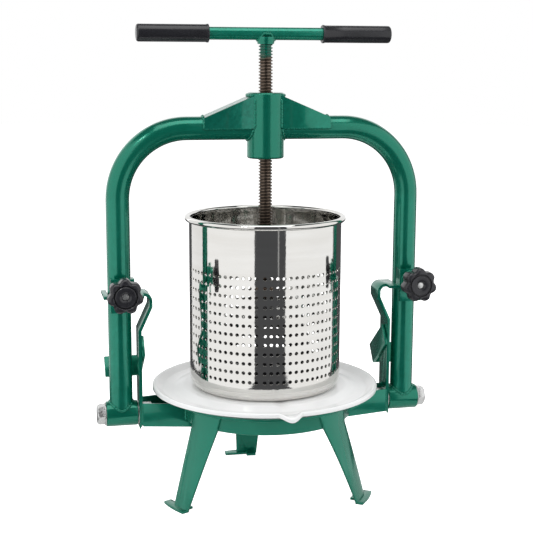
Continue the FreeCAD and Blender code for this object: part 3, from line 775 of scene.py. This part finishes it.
def ring_path(point: Callable[[float], Vector], start: float = 0.0, end: float = 360.0,
              steps: int = 48) -> list[Vector]:
    """A path from a formula of an angle.

    Args:
        point: The place at an angle in radians.
        start: First angle in degrees.
        end: Last angle in degrees.
        steps: Runs between them.

    Returns:
        The path.
    """
    return [point(math.radians(start + (end - start) * step / steps)) for step in range(steps + 1)]


# The press ----------------------------------------------------------------------------------------
@dataclass
class Basket:
    """Drawn cup with rows of punched holes, a welded seam and a rolled rim."""

    radius: float = 0.098
    sheet: float = 0.0015
    corner: float = 0.013
    bead: float = 0.0037
    bead_circle: float = 0.1014
    rows: int = 12
    columns: int = 76
    row_pitch: float = 0.01205
    column_turn: float = math.radians(4.718)
    first_row: float = 0.0260
    seam_angle: float = math.radians(-105.5)
    hole: float = 0.0018
    dimple_reach: float = 1.35
    dimple_depth: float = 0.00012
    hole_sides: int = 12
    bottom: float = field(init=False)
    rim_centre: float = field(init=False)

    def __post_init__(self) -> None:
        """Take the cup's floor and rim from the frame."""
        low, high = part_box("basket")
        self.bottom = low.z
        self.rim_centre = high.z - self.bead

    def on_wall(self, angle: float, height: float, depth: float = 0.0) -> Vector:
        """A point of the outer wall.

        Args:
            angle: Its angle round Z.
            height: Its height.
            depth: How far it is pressed in.

        Returns:
            The point.
        """
        reach = self.radius - depth
        return Vector((reach * math.cos(angle), reach * math.sin(angle), height))

    def punched_cell(self, shape: bmesh.types.BMesh, angle: float, height: float) -> None:
        """One hole with its dimple and the square of wall round it.

        Args:
            shape: The shape it is added to.
            angle: The hole's angle.
            height: The hole's height.
        """
        loops = [bmesh.ops.create_circle(shape, cap_ends=False, segments=self.hole_sides,
                                         radius=1.0)["verts"] for _ in range(3)]
        for index in range(self.hole_sides):
            turn = math.pi / 4 + math.tau * index / self.hole_sides
            across, up = math.cos(turn), math.sin(turn)
            stretch = 1.0 / max(abs(across), abs(up))
            edge, dimple, lip = (loop[index] for loop in loops)
            edge.co = self.on_wall(angle + across * stretch * self.column_turn / 2,
                                   height + up * stretch * self.row_pitch / 2)
            wide = self.hole * self.dimple_reach
            dimple.co = self.on_wall(angle + across * wide / self.radius, height + up * wide)
            lip.co = self.on_wall(angle + across * self.hole / self.radius, height + up * self.hole,
                                  self.dimple_depth)
        for outer, inner in zip(loops, loops[1:]):
            edges = {edge for vert in outer + inner for edge in vert.link_edges
                     if not edge.link_faces and edge.other_vert(vert) in outer + inner}
            edges = [edge for edge in edges if edge.verts[0] in outer and edge.verts[1] in outer
                     or edge.verts[0] in inner and edge.verts[1] in inner]
            bmesh.ops.bridge_loops(shape, edges=edges)

    def build(self) -> None:
        """Make the whole basket."""
        shape = bmesh.new()
        first_column = self.seam_angle + (math.tau - self.column_turn * (self.columns - 1)) / 2
        low_row = self.bottom + self.first_row
        for row in range(self.rows):
            self.punched_cell(shape, first_column, low_row + row * self.row_pitch)
        bmesh.ops.spin(shape, geom=shape.verts[:] + shape.edges[:] + shape.faces[:], cent=(0, 0, 0),
                       axis=(0, 0, 1), angle=self.column_turn * (self.columns - 1),
                       steps=self.columns - 1, use_duplicate=True)
        bmesh.ops.remove_doubles(shape, verts=shape.verts[:], dist=SEAM_MERGE)
        self.close_seam(shape, first_column)
        self.raise_rim(shape, low_row + (self.rows - 0.5) * self.row_pitch)
        self.draw_floor(shape, low_row - self.row_pitch / 2)
        bmesh.ops.recalc_face_normals(shape, faces=shape.faces[:])
        bmesh.ops.solidify(shape, geom=shape.faces[:], thickness=self.sheet)
        self.mark_inside(shape)
        deliver("perforated_basket", shape, POLISHED, Body.BASKET, ("basket",), crease=50.0)

    def close_seam(self, shape: bmesh.types.BMesh, first_column: float) -> None:
        """Fill the plain strip at the welded seam.

        Args:
            shape: The punched wall.
            first_column: The first column's angle.
        """
        edge_angle = first_column - self.column_turn / 2
        strip = math.tau - self.column_turn * self.columns
        side = [edge for edge in shape.edges if edge.is_boundary and all(
            abs(math.remainder(math.atan2(vert.co.y, vert.co.x) - edge_angle, math.tau)) < 1e-4
            for vert in edge.verts)]
        turn = Matrix.Rotation(-strip, 3, "Z")
        draw_out(shape, side, lambda point: turn @ point)
        bmesh.ops.remove_doubles(shape, verts=shape.verts[:], dist=SEAM_MERGE)

    def rim_at(self, shape: bmesh.types.BMesh, height: float) -> list[bmesh.types.BMEdge]:
        """The open edges at a height.

        Args:
            shape: The wall.
            height: Where to look.

        Returns:
            The edges.
        """
        return [edge for edge in shape.edges if edge.is_boundary
                and all(abs(vert.co.z - height) < 1e-5 for vert in edge.verts)]

    def raise_rim(self, shape: bmesh.types.BMesh, start: float) -> None:
        """Draw the plain upper wall and roll its edge outwards.

        Args:
            shape: The wall.
            start: The height of its upper edge.
        """
        rim = self.rim_at(shape, start)
        for share in (0.5, 0.92, 1.0):
            height = start + (self.rim_centre - start) * share
            rim = draw_out(shape, rim, lambda point: turned_point(point, self.radius, height))
        for angle in range(165, -166, -15):
            turn = math.radians(angle)
            radius = self.bead_circle + self.bead * math.cos(turn)
            height = self.rim_centre + self.bead * math.sin(turn)
            rim = draw_out(shape, rim, lambda point: turned_point(point, radius, height))

    def draw_floor(self, shape: bmesh.types.BMesh, start: float) -> None:
        """Draw the plain lower band, the corner and the floor.

        Args:
            shape: The wall.
            start: The height of its lower edge.
        """
        rim = self.rim_at(shape, start)
        corner_height = self.bottom + self.corner
        rim = draw_out(shape, rim, lambda point: turned_point(point, self.radius, corner_height))
        for angle in range(10, 91, 10):
            turn = math.radians(angle)
            radius = self.radius - self.corner * (1 - math.cos(turn))
            height = corner_height - self.corner * math.sin(turn)
            rim = draw_out(shape, rim, lambda point: turned_point(point, radius, height))
        for radius in (0.06, 0.02):
            rim = draw_out(shape, rim, lambda point: turned_point(point, radius, self.bottom))
        ring = {vert for edge in rim for vert in edge.verts}
        bmesh.ops.pointmerge(shape, verts=list(ring), merge_co=(0.0, 0.0, self.bottom))

    def mark_inside(self, shape: bmesh.types.BMesh) -> None:
        """Record which points are on the brushed inner skin.

        Args:
            shape: The finished basket.
        """
        layer = shape.verts.layers.float.new("inner_wall")
        limit = self.radius - self.sheet * 0.6
        for vert in shape.verts:
            inner = math.hypot(vert.co.x, vert.co.y) < limit and vert.co.z > self.bottom + self.sheet / 2
            vert[layer] = 1.0 if inner else 0.0


@dataclass
class Tray:
    """Pressed dish with a raised table, a shallow gutter, a turned-down rim and a spout."""

    table_radius: float = 0.108
    table_height: float = 0.146
    gutter_inner: float = 0.122
    gutter_outer: float = 0.136
    gutter_floor: float = 0.1415
    slope_end: float = 0.1456
    rim_height: float = 0.148
    skirt_bottom: float = 0.1425
    sheet: float = 0.002
    fold: float = 0.0024
    foot_inner: float = 0.117
    foot_outer: float = 0.119
    foot_top: float = 0.1405
    spout_half_width: float = 0.0145
    groove_half_width: float = 0.0135
    groove_floor: float = 0.1445
    skirt_drop: float = 0.004
    segments: int = 384
    rim_radius: float = field(init=False)
    foot_bottom: float = field(init=False)
    spout_reach: float = field(init=False)

    def __post_init__(self) -> None:
        """Take the rim, the foot and the spout's reach from the frame."""
        low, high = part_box("drip_tray")
        self.rim_radius = high.x
        self.foot_bottom = low.z
        self.spout_reach = -low.y

    def press_spout(self, point: Vector) -> Vector:
        """Where pressing the spout moves a point of the dish.

        Args:
            point: A point of the plain dish.

        Returns:
            The moved point.
        """
        if point.y > 0 or abs(point.x) > self.spout_half_width:
            return point
        reach = math.hypot(point.x, point.y)
        outwards = (reach - self.gutter_outer) / (self.rim_radius - self.gutter_outer)
        outwards = max(0.0, min(1.0, outwards))
        bulge = math.cos(math.pi / 2 * abs(point.x) / self.spout_half_width) ** 0.8
        groove = math.cos(math.pi / 2 * min(1.0, abs(point.x) / self.groove_half_width)) ** 1.5
        drawn = point.y - outwards * bulge * (self.spout_reach - self.rim_radius)
        drop = groove * max(self.skirt_drop * outwards, point.z - self.groove_floor)
        return Vector((point.x, drawn, point.z - drop))

    def build(self) -> None:
        """Make the dish and the ring it stands on."""
        shape = bmesh.new()
        rounded_chain(shape, (
            (0.0, self.table_height), (self.table_radius, self.table_height),
            (self.gutter_inner, self.gutter_floor), (self.gutter_outer, self.gutter_floor),
            (self.slope_end, self.rim_height), (self.rim_radius, self.rim_height),
            (self.rim_radius, self.skirt_bottom),
        ), self.fold, 5)
        full_spin(shape, self.segments)
        for vert in shape.verts:
            vert.co = self.press_spout(vert.co.copy())
        bmesh.ops.recalc_face_normals(shape, faces=shape.faces[:])
        if sum(face.normal.z * face.calc_area() for face in shape.faces) < 0:
            bmesh.ops.reverse_faces(shape, faces=shape.faces[:])
        bmesh.ops.solidify(shape, geom=shape.faces[:], thickness=self.sheet)
        crisp = [edge for edge in shape.edges
                 if edge.is_manifold and edge.calc_face_angle() > math.radians(60)]
        bmesh.ops.bevel(shape, geom=crisp, offset=0.0006, offset_type="OFFSET", segments=2,
                        profile=0.5, affect="EDGES", clamp_overlap=True, material=-1)
        deliver("juice_tray", shape, WHITE, Body.TRAY, ("drip_tray",))
        ring = [(self.foot_inner, self.foot_bottom), (self.foot_outer, self.foot_bottom),
                (self.foot_outer, self.foot_top), (self.foot_inner, self.foot_top),
                (self.foot_inner, self.foot_bottom)]
        deliver("tray_foot_ring", turned_shell(ring, 192), WHITE, Body.TRAY)


@dataclass
class PressingEnd:
    """The loose moulded plate and the swivel foot under the screw."""

    edge: float = 0.0008

    def build(self) -> None:
        """Make both pieces."""
        deliver("moulded_press_plate", softened("press_plate", self.edge), BLACK, Body.PLATE,
                ("press_plate",))
        deliver("swivel_foot", softened("screw_foot", 0.0005), THREAD, Body.SWIVEL, ("screw_foot",))


@dataclass
class ScrewAndHandle:
    """Threaded screw, its welded cross bar and the moulded grips."""

    crest: float = 0.009
    root: float = 0.0072
    pitch: float = 0.004
    steps_round: int = 24
    pin: float = 0.006
    painted_length: float = 0.020
    bar: float = 0.008
    grip: float = 0.011
    grip_lip: float = 0.0006
    grip_corner: float = 0.003
    grip_segments: int = 56

    def build(self) -> None:
        """Make the screw, the weld under the bar, the grips, and dress the bar."""
        self.thread()
        self.grips()
        dress_nodes(GREEN, "handle_bar", "handle_collar")
        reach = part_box("handle_collar")[1].x

        def saddle(angle: float) -> Vector:
            side = reach * 0.78 * math.sin(angle)
            hang = math.sqrt(max(0.0, self.bar ** 2 - min(self.bar, abs(side)) ** 2))
            bar_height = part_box("handle_bar")[0].z + self.bar
            return Vector((reach * 0.95 * math.cos(angle), side, bar_height - hang - 0.0004))

        weld_seams("handle_weld", [ring_path(saddle)], 0.0016, Body.SCREW)

    def thread(self) -> None:
        """Cut the screw's thread as one outline swept up a helix."""
        pin_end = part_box("press_screw")[0].z
        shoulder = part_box("screw_foot")[1].z + 0.0003
        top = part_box("handle_bar")[0].z + self.bar * 0.6
        shape = bmesh.new()
        outline = [(self.root, 0.0), (self.root, 0.22), (self.crest, 0.36), (self.crest, 0.64),
                   (self.root, 0.78), (self.root, 1.0)]
        verts = [shape.verts.new((radius, 0.0, shoulder - self.pitch + share * self.pitch))
                 for radius, share in outline]
        edges = [shape.edges.new(pair) for pair in zip(verts, verts[1:])]
        turns = math.ceil((top - shoulder) / self.pitch) + 2
        bmesh.ops.spin(shape, geom=verts + edges, cent=(0, 0, 0), axis=(0, 0, 1),
                       dvec=(0, 0, self.pitch / self.steps_round), angle=math.tau * turns,
                       steps=self.steps_round * turns, use_duplicate=False, use_merge=False)
        bmesh.ops.remove_doubles(shape, verts=shape.verts[:], dist=MERGE)
        for height, above in ((shoulder, False), (top, True)):
            bmesh.ops.bisect_plane(shape, geom=shape.verts[:] + shape.edges[:] + shape.faces[:],
                                   plane_co=(0, 0, height), plane_no=(0, 0, 1),
                                   clear_outer=above, clear_inner=not above)
            rim = [edge for edge in shape.edges if edge.is_boundary
                   and all(abs(vert.co.z - height) < 1e-6 for vert in edge.verts)]
            bmesh.ops.holes_fill(shape, edges=rim, sides=0)
        bmesh.ops.recalc_face_normals(shape, faces=shape.faces[:])
        layer = shape.verts.layers.float.new("thread_root")
        for vert in shape.verts:
            depth = (self.crest - math.hypot(vert.co.x, vert.co.y)) / (self.crest - self.root)
            vert[layer] = max(0.0, min(1.0, depth))
        finish = ThreadSteel("thread_steel_painted_top", Slot.BARE_STEEL, THREAD.colour, THREAD.roughness,
                             paint_line=top - self.painted_length)
        deliver("threaded_screw", shape, finish, Body.SCREW, ("press_screw",), crease=25.0)
        pin = turned_shell([(self.pin, pin_end), (self.pin, shoulder + 0.001)], 40)
        deliver("screw_pin", pin, THREAD, Body.SCREW)

    def grips(self) -> None:
        """Mould the two grips over the bar's ends."""
        for side in Side:
            low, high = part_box("handle_grip_" + side.label)
            height = (low.z + high.z) / 2
            inner, outer = sorted((abs(low.x), abs(high.x)))
            lip = self.grip + self.grip_lip
            bore = self.bar + 0.0001
            dome = 0.0008
            stations = [(bore, inner), (lip - 0.0005, inner), (lip, inner + 0.0005),
                        (lip, inner + 0.0022), (self.grip, inner + 0.0034)]
            stations += [(self.grip, inner + (outer - inner) * share) for share in (0.3, 0.6, 0.85)]
            for turn in range(0, 91, 15):
                angle = math.radians(turn)
                stations.append((self.grip - self.grip_corner * (1 - math.cos(angle)),
                                 outer - dome - self.grip_corner * (1 - math.sin(angle))))
            stations += [(0.0062, outer - 0.0004), (0.0014, outer), (0.0012, outer), (0.0004, outer)]
            stations += [(0.0004, outer - 0.004), (bore, outer - 0.004), (bore, inner)]
            shape = turned_shell(stations, self.grip_segments)
            turn = Matrix.Translation((0, 0, height)) @ Matrix.Rotation(
                side.value * math.pi / 2, 4, "Y")
            bmesh.ops.transform(shape, matrix=turn, verts=shape.verts[:])
            deliver("grip_" + side.label, shape, BLACK, Body.SCREW, ("handle_grip_" + side.label,))


@dataclass
class Yoke:
    """Bent tube with its hub, gussets, pivot sleeves and the welds between them."""

    tube: float = 0.015
    sleeve: float = 0.0165
    hub: float = 0.024
    bead: float = 0.0019
    gusset_end: float = 0.082
    shoulder: float = 0.0035
    gusset_half_width: float = 0.0175

    def build(self) -> None:
        """Dress the tubes, round the plates' edges and run the beads."""
        dress_nodes(GREEN, "yoke_post_left", "yoke_post_right", "hub")
        for side in Side:
            # The left gusset takes the rippled coat, whose darker colour is painted shade.
            finish = RIPPLED_SHADED_GREEN if side is Side.LEFT else GREEN
            plate = softened("gusset_" + side.label, 0.0011)
            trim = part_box("hub")[1].z - self.shoulder
            bmesh.ops.bisect_plane(plate, geom=plate.verts[:] + plate.edges[:] + plate.faces[:],
                                   plane_co=(0, 0, trim), plane_no=(0, 0, 1), clear_outer=True)
            open_edges = [edge for edge in plate.edges if edge.is_boundary]
            bmesh.ops.holes_fill(plate, edges=open_edges, sides=0)
            bmesh.ops.recalc_face_normals(plate, faces=plate.faces[:])
            deliver("folded_gusset_" + side.label, plate, finish, Body.YOKE, ("gusset_" + side.label,))
            deliver("sleeve_" + side.label, softened("pivot_sleeve_" + side.label, 0.0007), GREEN,
                    Body.YOKE, ("pivot_sleeve_" + side.label,))
        self.welds()

    def welds(self) -> None:
        """Run beads round each joint of the yoke."""
        paths = []
        hub_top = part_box("hub")[1].z
        for side in Side:
            sign = side.value
            low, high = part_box("yoke_post_" + side.label)
            post_x = sign * (max(abs(low.x), abs(high.x)) - self.tube)
            pivot_z = sum(corner.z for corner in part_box("pivot_sleeve_" + side.label)) / 2
            beam_z = high.z - self.tube
            paths.append(ring_path(lambda angle: Vector((
                post_x + self.tube * math.cos(angle), self.tube * math.sin(angle),
                pivot_z + math.sqrt(self.sleeve ** 2 - (self.tube * math.sin(angle)) ** 2)))))
            paths.append(ring_path(lambda angle: Vector((
                sign * math.sqrt(self.hub ** 2 - (self.tube * math.sin(angle)) ** 2),
                self.tube * math.sin(angle), beam_z - self.tube * math.cos(angle))), -90, 90, 24))
            paths.append(ring_path(lambda angle: Vector((
                sign * self.gusset_end, self.tube * math.sin(angle),
                beam_z + self.tube * math.cos(angle))), -95, 95, 24))
            for front in (-1, 1):
                face = front * (self.gusset_half_width - 0.0008)
                hub_x = sign * math.sqrt(self.hub ** 2 - face ** 2)
                paths.append([Vector((hub_x, face, beam_z)), Vector((hub_x, face, hub_top - 0.008))])
                paths.append([Vector((sign * 0.022, front * (self.tube + 0.0006), beam_z)),
                              Vector((sign * self.gusset_end, front * (self.tube + 0.0006), beam_z))])
            top_half = self.gusset_half_width - 0.002
            paths.append(ring_path(lambda angle: Vector((
                sign * self.hub * math.cos(angle), self.hub * math.sin(angle),
                hub_top - self.shoulder)), -math.degrees(math.asin(top_half / self.hub)),
                math.degrees(math.asin(top_half / self.hub)), 16))
        weld_seams("yoke_welds", paths, self.bead, Body.YOKE)


@dataclass
class Base:
    """Ring, legs, arms, straps, cradles, brackets and bushes, with their welds."""

    ring: float = 0.115
    arm_root_half: float = 0.0292
    strap_face: float = 0.1655
    bead: float = 0.0016

    def build(self) -> None:
        """Round the plates' edges and run the beads."""
        rounded = {"base_ring": 0.0009, "leg_front_left": 0.0009, "leg_front_right": 0.0009,
                   "leg_rear": 0.0009}
        for side in Side:
            rounded.update({"arm_" + side.label: 0.0008, "lock_strap_" + side.label: 0.0008,
                            "cradle_" + side.label: 0.0010, "lock_bracket_" + side.label: 0.0008,
                            "lock_bush_" + side.label: 0.0007})
        for node, width in rounded.items():
            deliver("coated_" + node, softened(node, width), GREEN, Body.BASE, (node,))
        self.welds()

    def welds(self) -> None:
        """Run beads where the arms, straps, brackets and bushes are joined."""
        paths = []
        for side in Side:
            sign = side.value
            arm_low, arm_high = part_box("arm_" + side.label)
            bush_low, bush_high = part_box("lock_bush_" + side.label)
            plate_low, plate_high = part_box("lock_bracket_" + side.label)
            strap_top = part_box("lock_strap_" + side.label)[1].z
            axis_x = (bush_low.x + bush_high.x) / 2
            axis_z = bush_high.z - (bush_high.x - bush_low.x) / 2
            bush = (bush_high.x - bush_low.x) / 2
            for front in (-1, 1):
                root_x = sign * math.sqrt(self.ring ** 2 - self.arm_root_half ** 2)
                paths.append([Vector((root_x, front * self.arm_root_half, arm_low.z + 0.010)),
                              Vector((root_x, front * self.arm_root_half, arm_high.z - 0.003))])
                paths.append([Vector((sign * self.strap_face, front * 0.0158, arm_low.z + 0.002)),
                              Vector((sign * self.strap_face, front * 0.0158, arm_high.z - 0.001))])
            paths.append(ring_path(lambda angle: Vector((
                axis_x + bush * math.cos(angle), plate_low.y, axis_z + bush * math.sin(angle)))))
            paths.append([Vector((plate_low.x + 0.001, plate_low.y + 0.003, strap_top)),
                          Vector((plate_low.x - 0.0004, -0.020, strap_top))])
            paths.append([Vector((plate_high.x - 0.001, plate_low.y + 0.003, strap_top)),
                          Vector((plate_high.x + 0.0004, -0.020, strap_top))])
        weld_seams("base_welds", paths, self.bead, Body.BASE)


@dataclass
class Pivots:
    """Pivot bolts, nuts and washers."""

    edge: float = 0.0004

    def build(self) -> None:
        """Round the fasteners' edges."""
        for side in Side:
            for kind in ("pivot_bolt_", "pivot_nut_", "pivot_washers_"):
                node = kind + side.label
                deliver("zinc_" + node, softened(node, self.edge, steps=2), ZINC, Body.BASE, (node,))


@dataclass
class LockKnobs:
    """Seven-lobed knobs with their studs and washers."""

    lobes: int = 7
    lobe_height: float = 0.0036
    segments: int = 98
    round_from: float = 0.0155
    round_to: float = 0.0190

    def lobed(self, angle: float, radius: float, height: float) -> float:
        """The knob's radius at an angle: lobed outside, round near the centre.

        Args:
            angle: The angle round the knob.
            radius: The radius at a lobe's peak.
            height: The distance along the axis, unused.

        Returns:
            The radius.
        """
        share = (radius - self.round_from) / (self.round_to - self.round_from)
        share = max(0.0, min(1.0, share))
        wave = 0.5 - 0.5 * math.cos(self.lobes * (angle - math.pi / 2))
        return radius - share * self.lobe_height * wave ** 1.5

    def build(self) -> None:
        """Mould both knobs and dress their studs and washers."""
        for side in Side:
            knob_body = Body[side.name + "_KNOB"]
            low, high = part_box("knob_" + side.label)
            back, depth = -high.y, high.y - low.y
            centre_x = math.copysign((abs(low.x) + abs(high.x)) / 2, low.x)
            centre_z = sum(corner.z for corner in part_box("knob_stud_" + side.label)) / 2
            full = high.z - centre_z
            bore = 0.00505
            steps = [(bore, 0.0), (0.0108, 0.0), (0.0120, 0.0010), (0.0120, 0.0050), (0.0136, 0.0062),
                     (0.0185, 0.0066), (full - 0.0014, 0.0072), (full - 0.0004, 0.0084), (full, 0.0104),
                     (full, depth - 0.0048), (full - 0.0005, depth - 0.0026),
                     (full - 0.0018, depth - 0.0010), (full - 0.0040, depth - 0.0001),
                     (0.0156, depth), (0.0148, depth - 0.0006),
                     (0.0143, depth - 0.0022), (0.0134, depth - 0.0022),
                     (0.0129, depth - 0.0006), (0.0121, depth),
                     (0.0080, depth), (0.0062, depth - 0.0004),
                     (0.0049, depth - 0.0014), (0.0045, depth - 0.0029),
                     (bore, depth - 0.0032), (bore, 0.0)]
            shape = turned_shell(steps, self.segments, self.lobed)
            turn = Matrix.Translation((centre_x, -back, centre_z)) @ Matrix.Rotation(math.pi / 2, 4, "X")
            bmesh.ops.transform(shape, matrix=turn, verts=shape.verts[:])
            deliver("lobed_knob_" + side.label, shape, BLACK, knob_body, ("knob_" + side.label,))
            deliver("stud_" + side.label, softened("knob_stud_" + side.label, 0.0003, steps=2), ZINC,
                    knob_body, ("knob_stud_" + side.label,))
            deliver("washer_" + side.label, softened("knob_washer_" + side.label, 0.0003, steps=2), ZINC,
                    Body[side.name + "_WASHER"], ("knob_washer_" + side.label,))


# Studio -------------------------------------------------------------------------------------------
@dataclass
class Softbox:
    """A large even light, aimed at the press and unseen by the camera."""

    name: str
    bearing: float
    distance: float
    height: float
    width: float
    tall: float
    radiance: float
    aim: Vector = field(default_factory=lambda: Vector((0.0, 0.0, 0.3)))

    def build(self) -> None:
        """Hang the light."""
        data = bpy.data.lights.new(self.name, "AREA")
        data.shape = "RECTANGLE"
        data.size, data.size_y = self.width, self.tall
        data.energy = self.radiance * math.pi * self.width * self.tall
        lamp = bpy.data.objects.new(self.name, data)
        turn = math.radians(self.bearing)
        lamp.location = (self.distance * math.sin(turn), -self.distance * math.cos(turn), self.height)
        lamp.rotation_euler = (self.aim - lamp.location).to_track_quat("-Z", "Y").to_euler()
        lamp.visible_camera = False
        bpy.context.scene.collection.objects.link(lamp)


@dataclass
class Studio:
    """Pale floor, soft lights and the camera."""

    camera_place: tuple[float, float, float] = (-0.325, -1.475, 0.572)
    camera_pitch: float = 79.91
    camera_roll: float = 0.2
    camera_yaw: float = -12.5
    lens: float = 78.69
    near_floor: float = 0.34
    far_floor: float = 9.0
    floor_glow: float = 1.0
    camera_bearing: float = -12.43
    room_light: float = 0.3
    room_mirrored: float = 0.085

    def build(self) -> None:
        """Set the whole studio up."""
        self.floor("floor_near", 0.0, self.near_floor, True)
        self.floor("floor_far", self.near_floor, self.far_floor, False)
        for box in (
            Softbox("left_softbox", self.camera_bearing - 57, 1.2, 0.75, 2.16, 2.0, 1.02,
                    Vector((0, 0, 0.75))),
            Softbox("left_rear_softbox", self.camera_bearing - 121, 1.25, 0.75, 0.95, 1.8, 0.9,
                    Vector((0, 0, 0.75))),
            Softbox("right_softbox", self.camera_bearing + 75, 1.2, 0.75, 2.4, 2.0, 1.0,
                    Vector((0, 0, 0.75))),
            Softbox("strip_light", self.camera_bearing + 19, 1.2, 0.9, 0.045, 1.6, 0.3,
                    Vector((0, 0, 0.9))),
            Softbox("rear_softbox", self.camera_bearing + 180, 1.6, 1.1, 3.0, 1.8, 0.9,
                    Vector((0, 0, 1.1))),
            Softbox("top_softbox", 0.0, 0.35, 1.9, 1.3, 1.3, 2.2),
            Softbox("glint_lamp", self.camera_bearing - 35, 1.5, 1.9, 0.22, 0.22, 16.0),
        ):
            box.build()
        self.sky()
        self.camera()
        bpy.context.scene.view_settings.view_transform = "Standard"

    def floor(self, name: str, inner: float, outer: float, seen_in_gloss: bool) -> None:
        """A flat ring or disc of floor.

        Args:
            name: Its name.
            inner: Its inner radius, or 0 for a disc.
            outer: Its outer radius.
            seen_in_gloss: Whether polished parts reflect it.
        """
        shape = bmesh.new()
        bmesh.ops.create_circle(shape, cap_ends=inner == 0.0, segments=96, radius=inner or outer)
        if inner:
            draw_out(shape, shape.edges[:], lambda point: turned_point(point, outer, 0.0))
        bmesh.ops.recalc_face_normals(shape, faces=shape.faces[:])
        if shape.faces[:][0].normal.z < 0:
            bmesh.ops.reverse_faces(shape, faces=shape.faces[:])
        bmesh.ops.translate(shape, verts=shape.verts[:], vec=(0.0, 0.0, -0.0002))
        mesh = bpy.data.meshes.new(name)
        shape.to_mesh(mesh)
        shape.free()
        paint = bpy.data.materials.get("studio_floor") or bpy.data.materials.new("studio_floor")
        paint.use_nodes = True
        shader = paint.node_tree.nodes["Principled BSDF"]
        shader.inputs["Base Color"].default_value = (0.8, 0.8, 0.8, 1.0)
        shader.inputs["Roughness"].default_value = 0.9
        shader.inputs["Specular IOR Level"].default_value = 0.0
        shader.inputs["Emission Color"].default_value = (1.0, 1.0, 1.0, 1.0)
        sheet = paint.node_tree
        ray = sheet.nodes.new("ShaderNodeLightPath")
        glow = sheet.nodes.new("ShaderNodeMath")
        glow.operation = "MULTIPLY"
        glow.inputs[1].default_value = self.floor_glow
        sheet.links.new(ray.outputs["Is Camera Ray"], glow.inputs[0])
        sheet.links.new(glow.outputs[0], shader.inputs["Emission Strength"])
        mesh.materials.append(paint)
        piece = bpy.data.objects.new(name, mesh)
        piece.visible_glossy = seen_in_gloss
        bpy.context.scene.collection.objects.link(piece)

    def sky(self) -> None:
        """White behind the press, soft light round it, and a dark studio in its polish."""
        world = bpy.data.worlds.new("studio")
        world.use_nodes = True
        bpy.context.scene.world = world
        sheet = NodeSheet(world.node_tree)
        ray = sheet.add("ShaderNodeLightPath")
        behind = sheet.add("ShaderNodeBackground", {0: (1.0, 1.0, 1.0, 1.0), 1: 1.0})
        around = sheet.add("ShaderNodeBackground", {0: (1.0, 1.0, 1.0, 1.0), 1: self.room_light})
        mirrored = sheet.add("ShaderNodeBackground", {0: (0.93, 0.95, 1.0, 1.0), 1: self.room_mirrored})
        glossy = sheet.add("ShaderNodeMixShader", {
            0: ray.outputs["Is Glossy Ray"], 1: around.outputs[0], 2: mirrored.outputs[0]})
        seen = sheet.add("ShaderNodeMixShader", {
            0: ray.outputs["Is Camera Ray"], 1: glossy.outputs[0], 2: behind.outputs[0]})
        sheet.add("ShaderNodeOutputWorld", {"Surface": seen.outputs[0]})

    def camera(self) -> None:
        """Place the camera."""
        data = bpy.data.cameras.new("camera")
        data.sensor_width = 36.0
        data.lens = self.lens
        camera = bpy.data.objects.new("camera", data)
        camera.matrix_world = (
            Matrix.Translation(self.camera_place)
            @ Matrix.Rotation(math.radians(self.camera_yaw), 4, "Z")
            @ Matrix.Rotation(math.radians(self.camera_pitch), 4, "X")
            @ Matrix.Rotation(math.radians(self.camera_roll), 4, "Z"))
        bpy.context.scene.collection.objects.link(camera)
        bpy.context.scene.camera = camera


def main() -> None:
    logging.basicConfig(level=logging.INFO, format="%(name)s: %(message)s")
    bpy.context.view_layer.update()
    for assembly in (Base(), Pivots(), Yoke(), ScrewAndHandle(), PressingEnd(), Tray(), Basket(),
                     LockKnobs()):
        assembly.build()
    Studio().build()


if __name__ == "__main__":
    main()
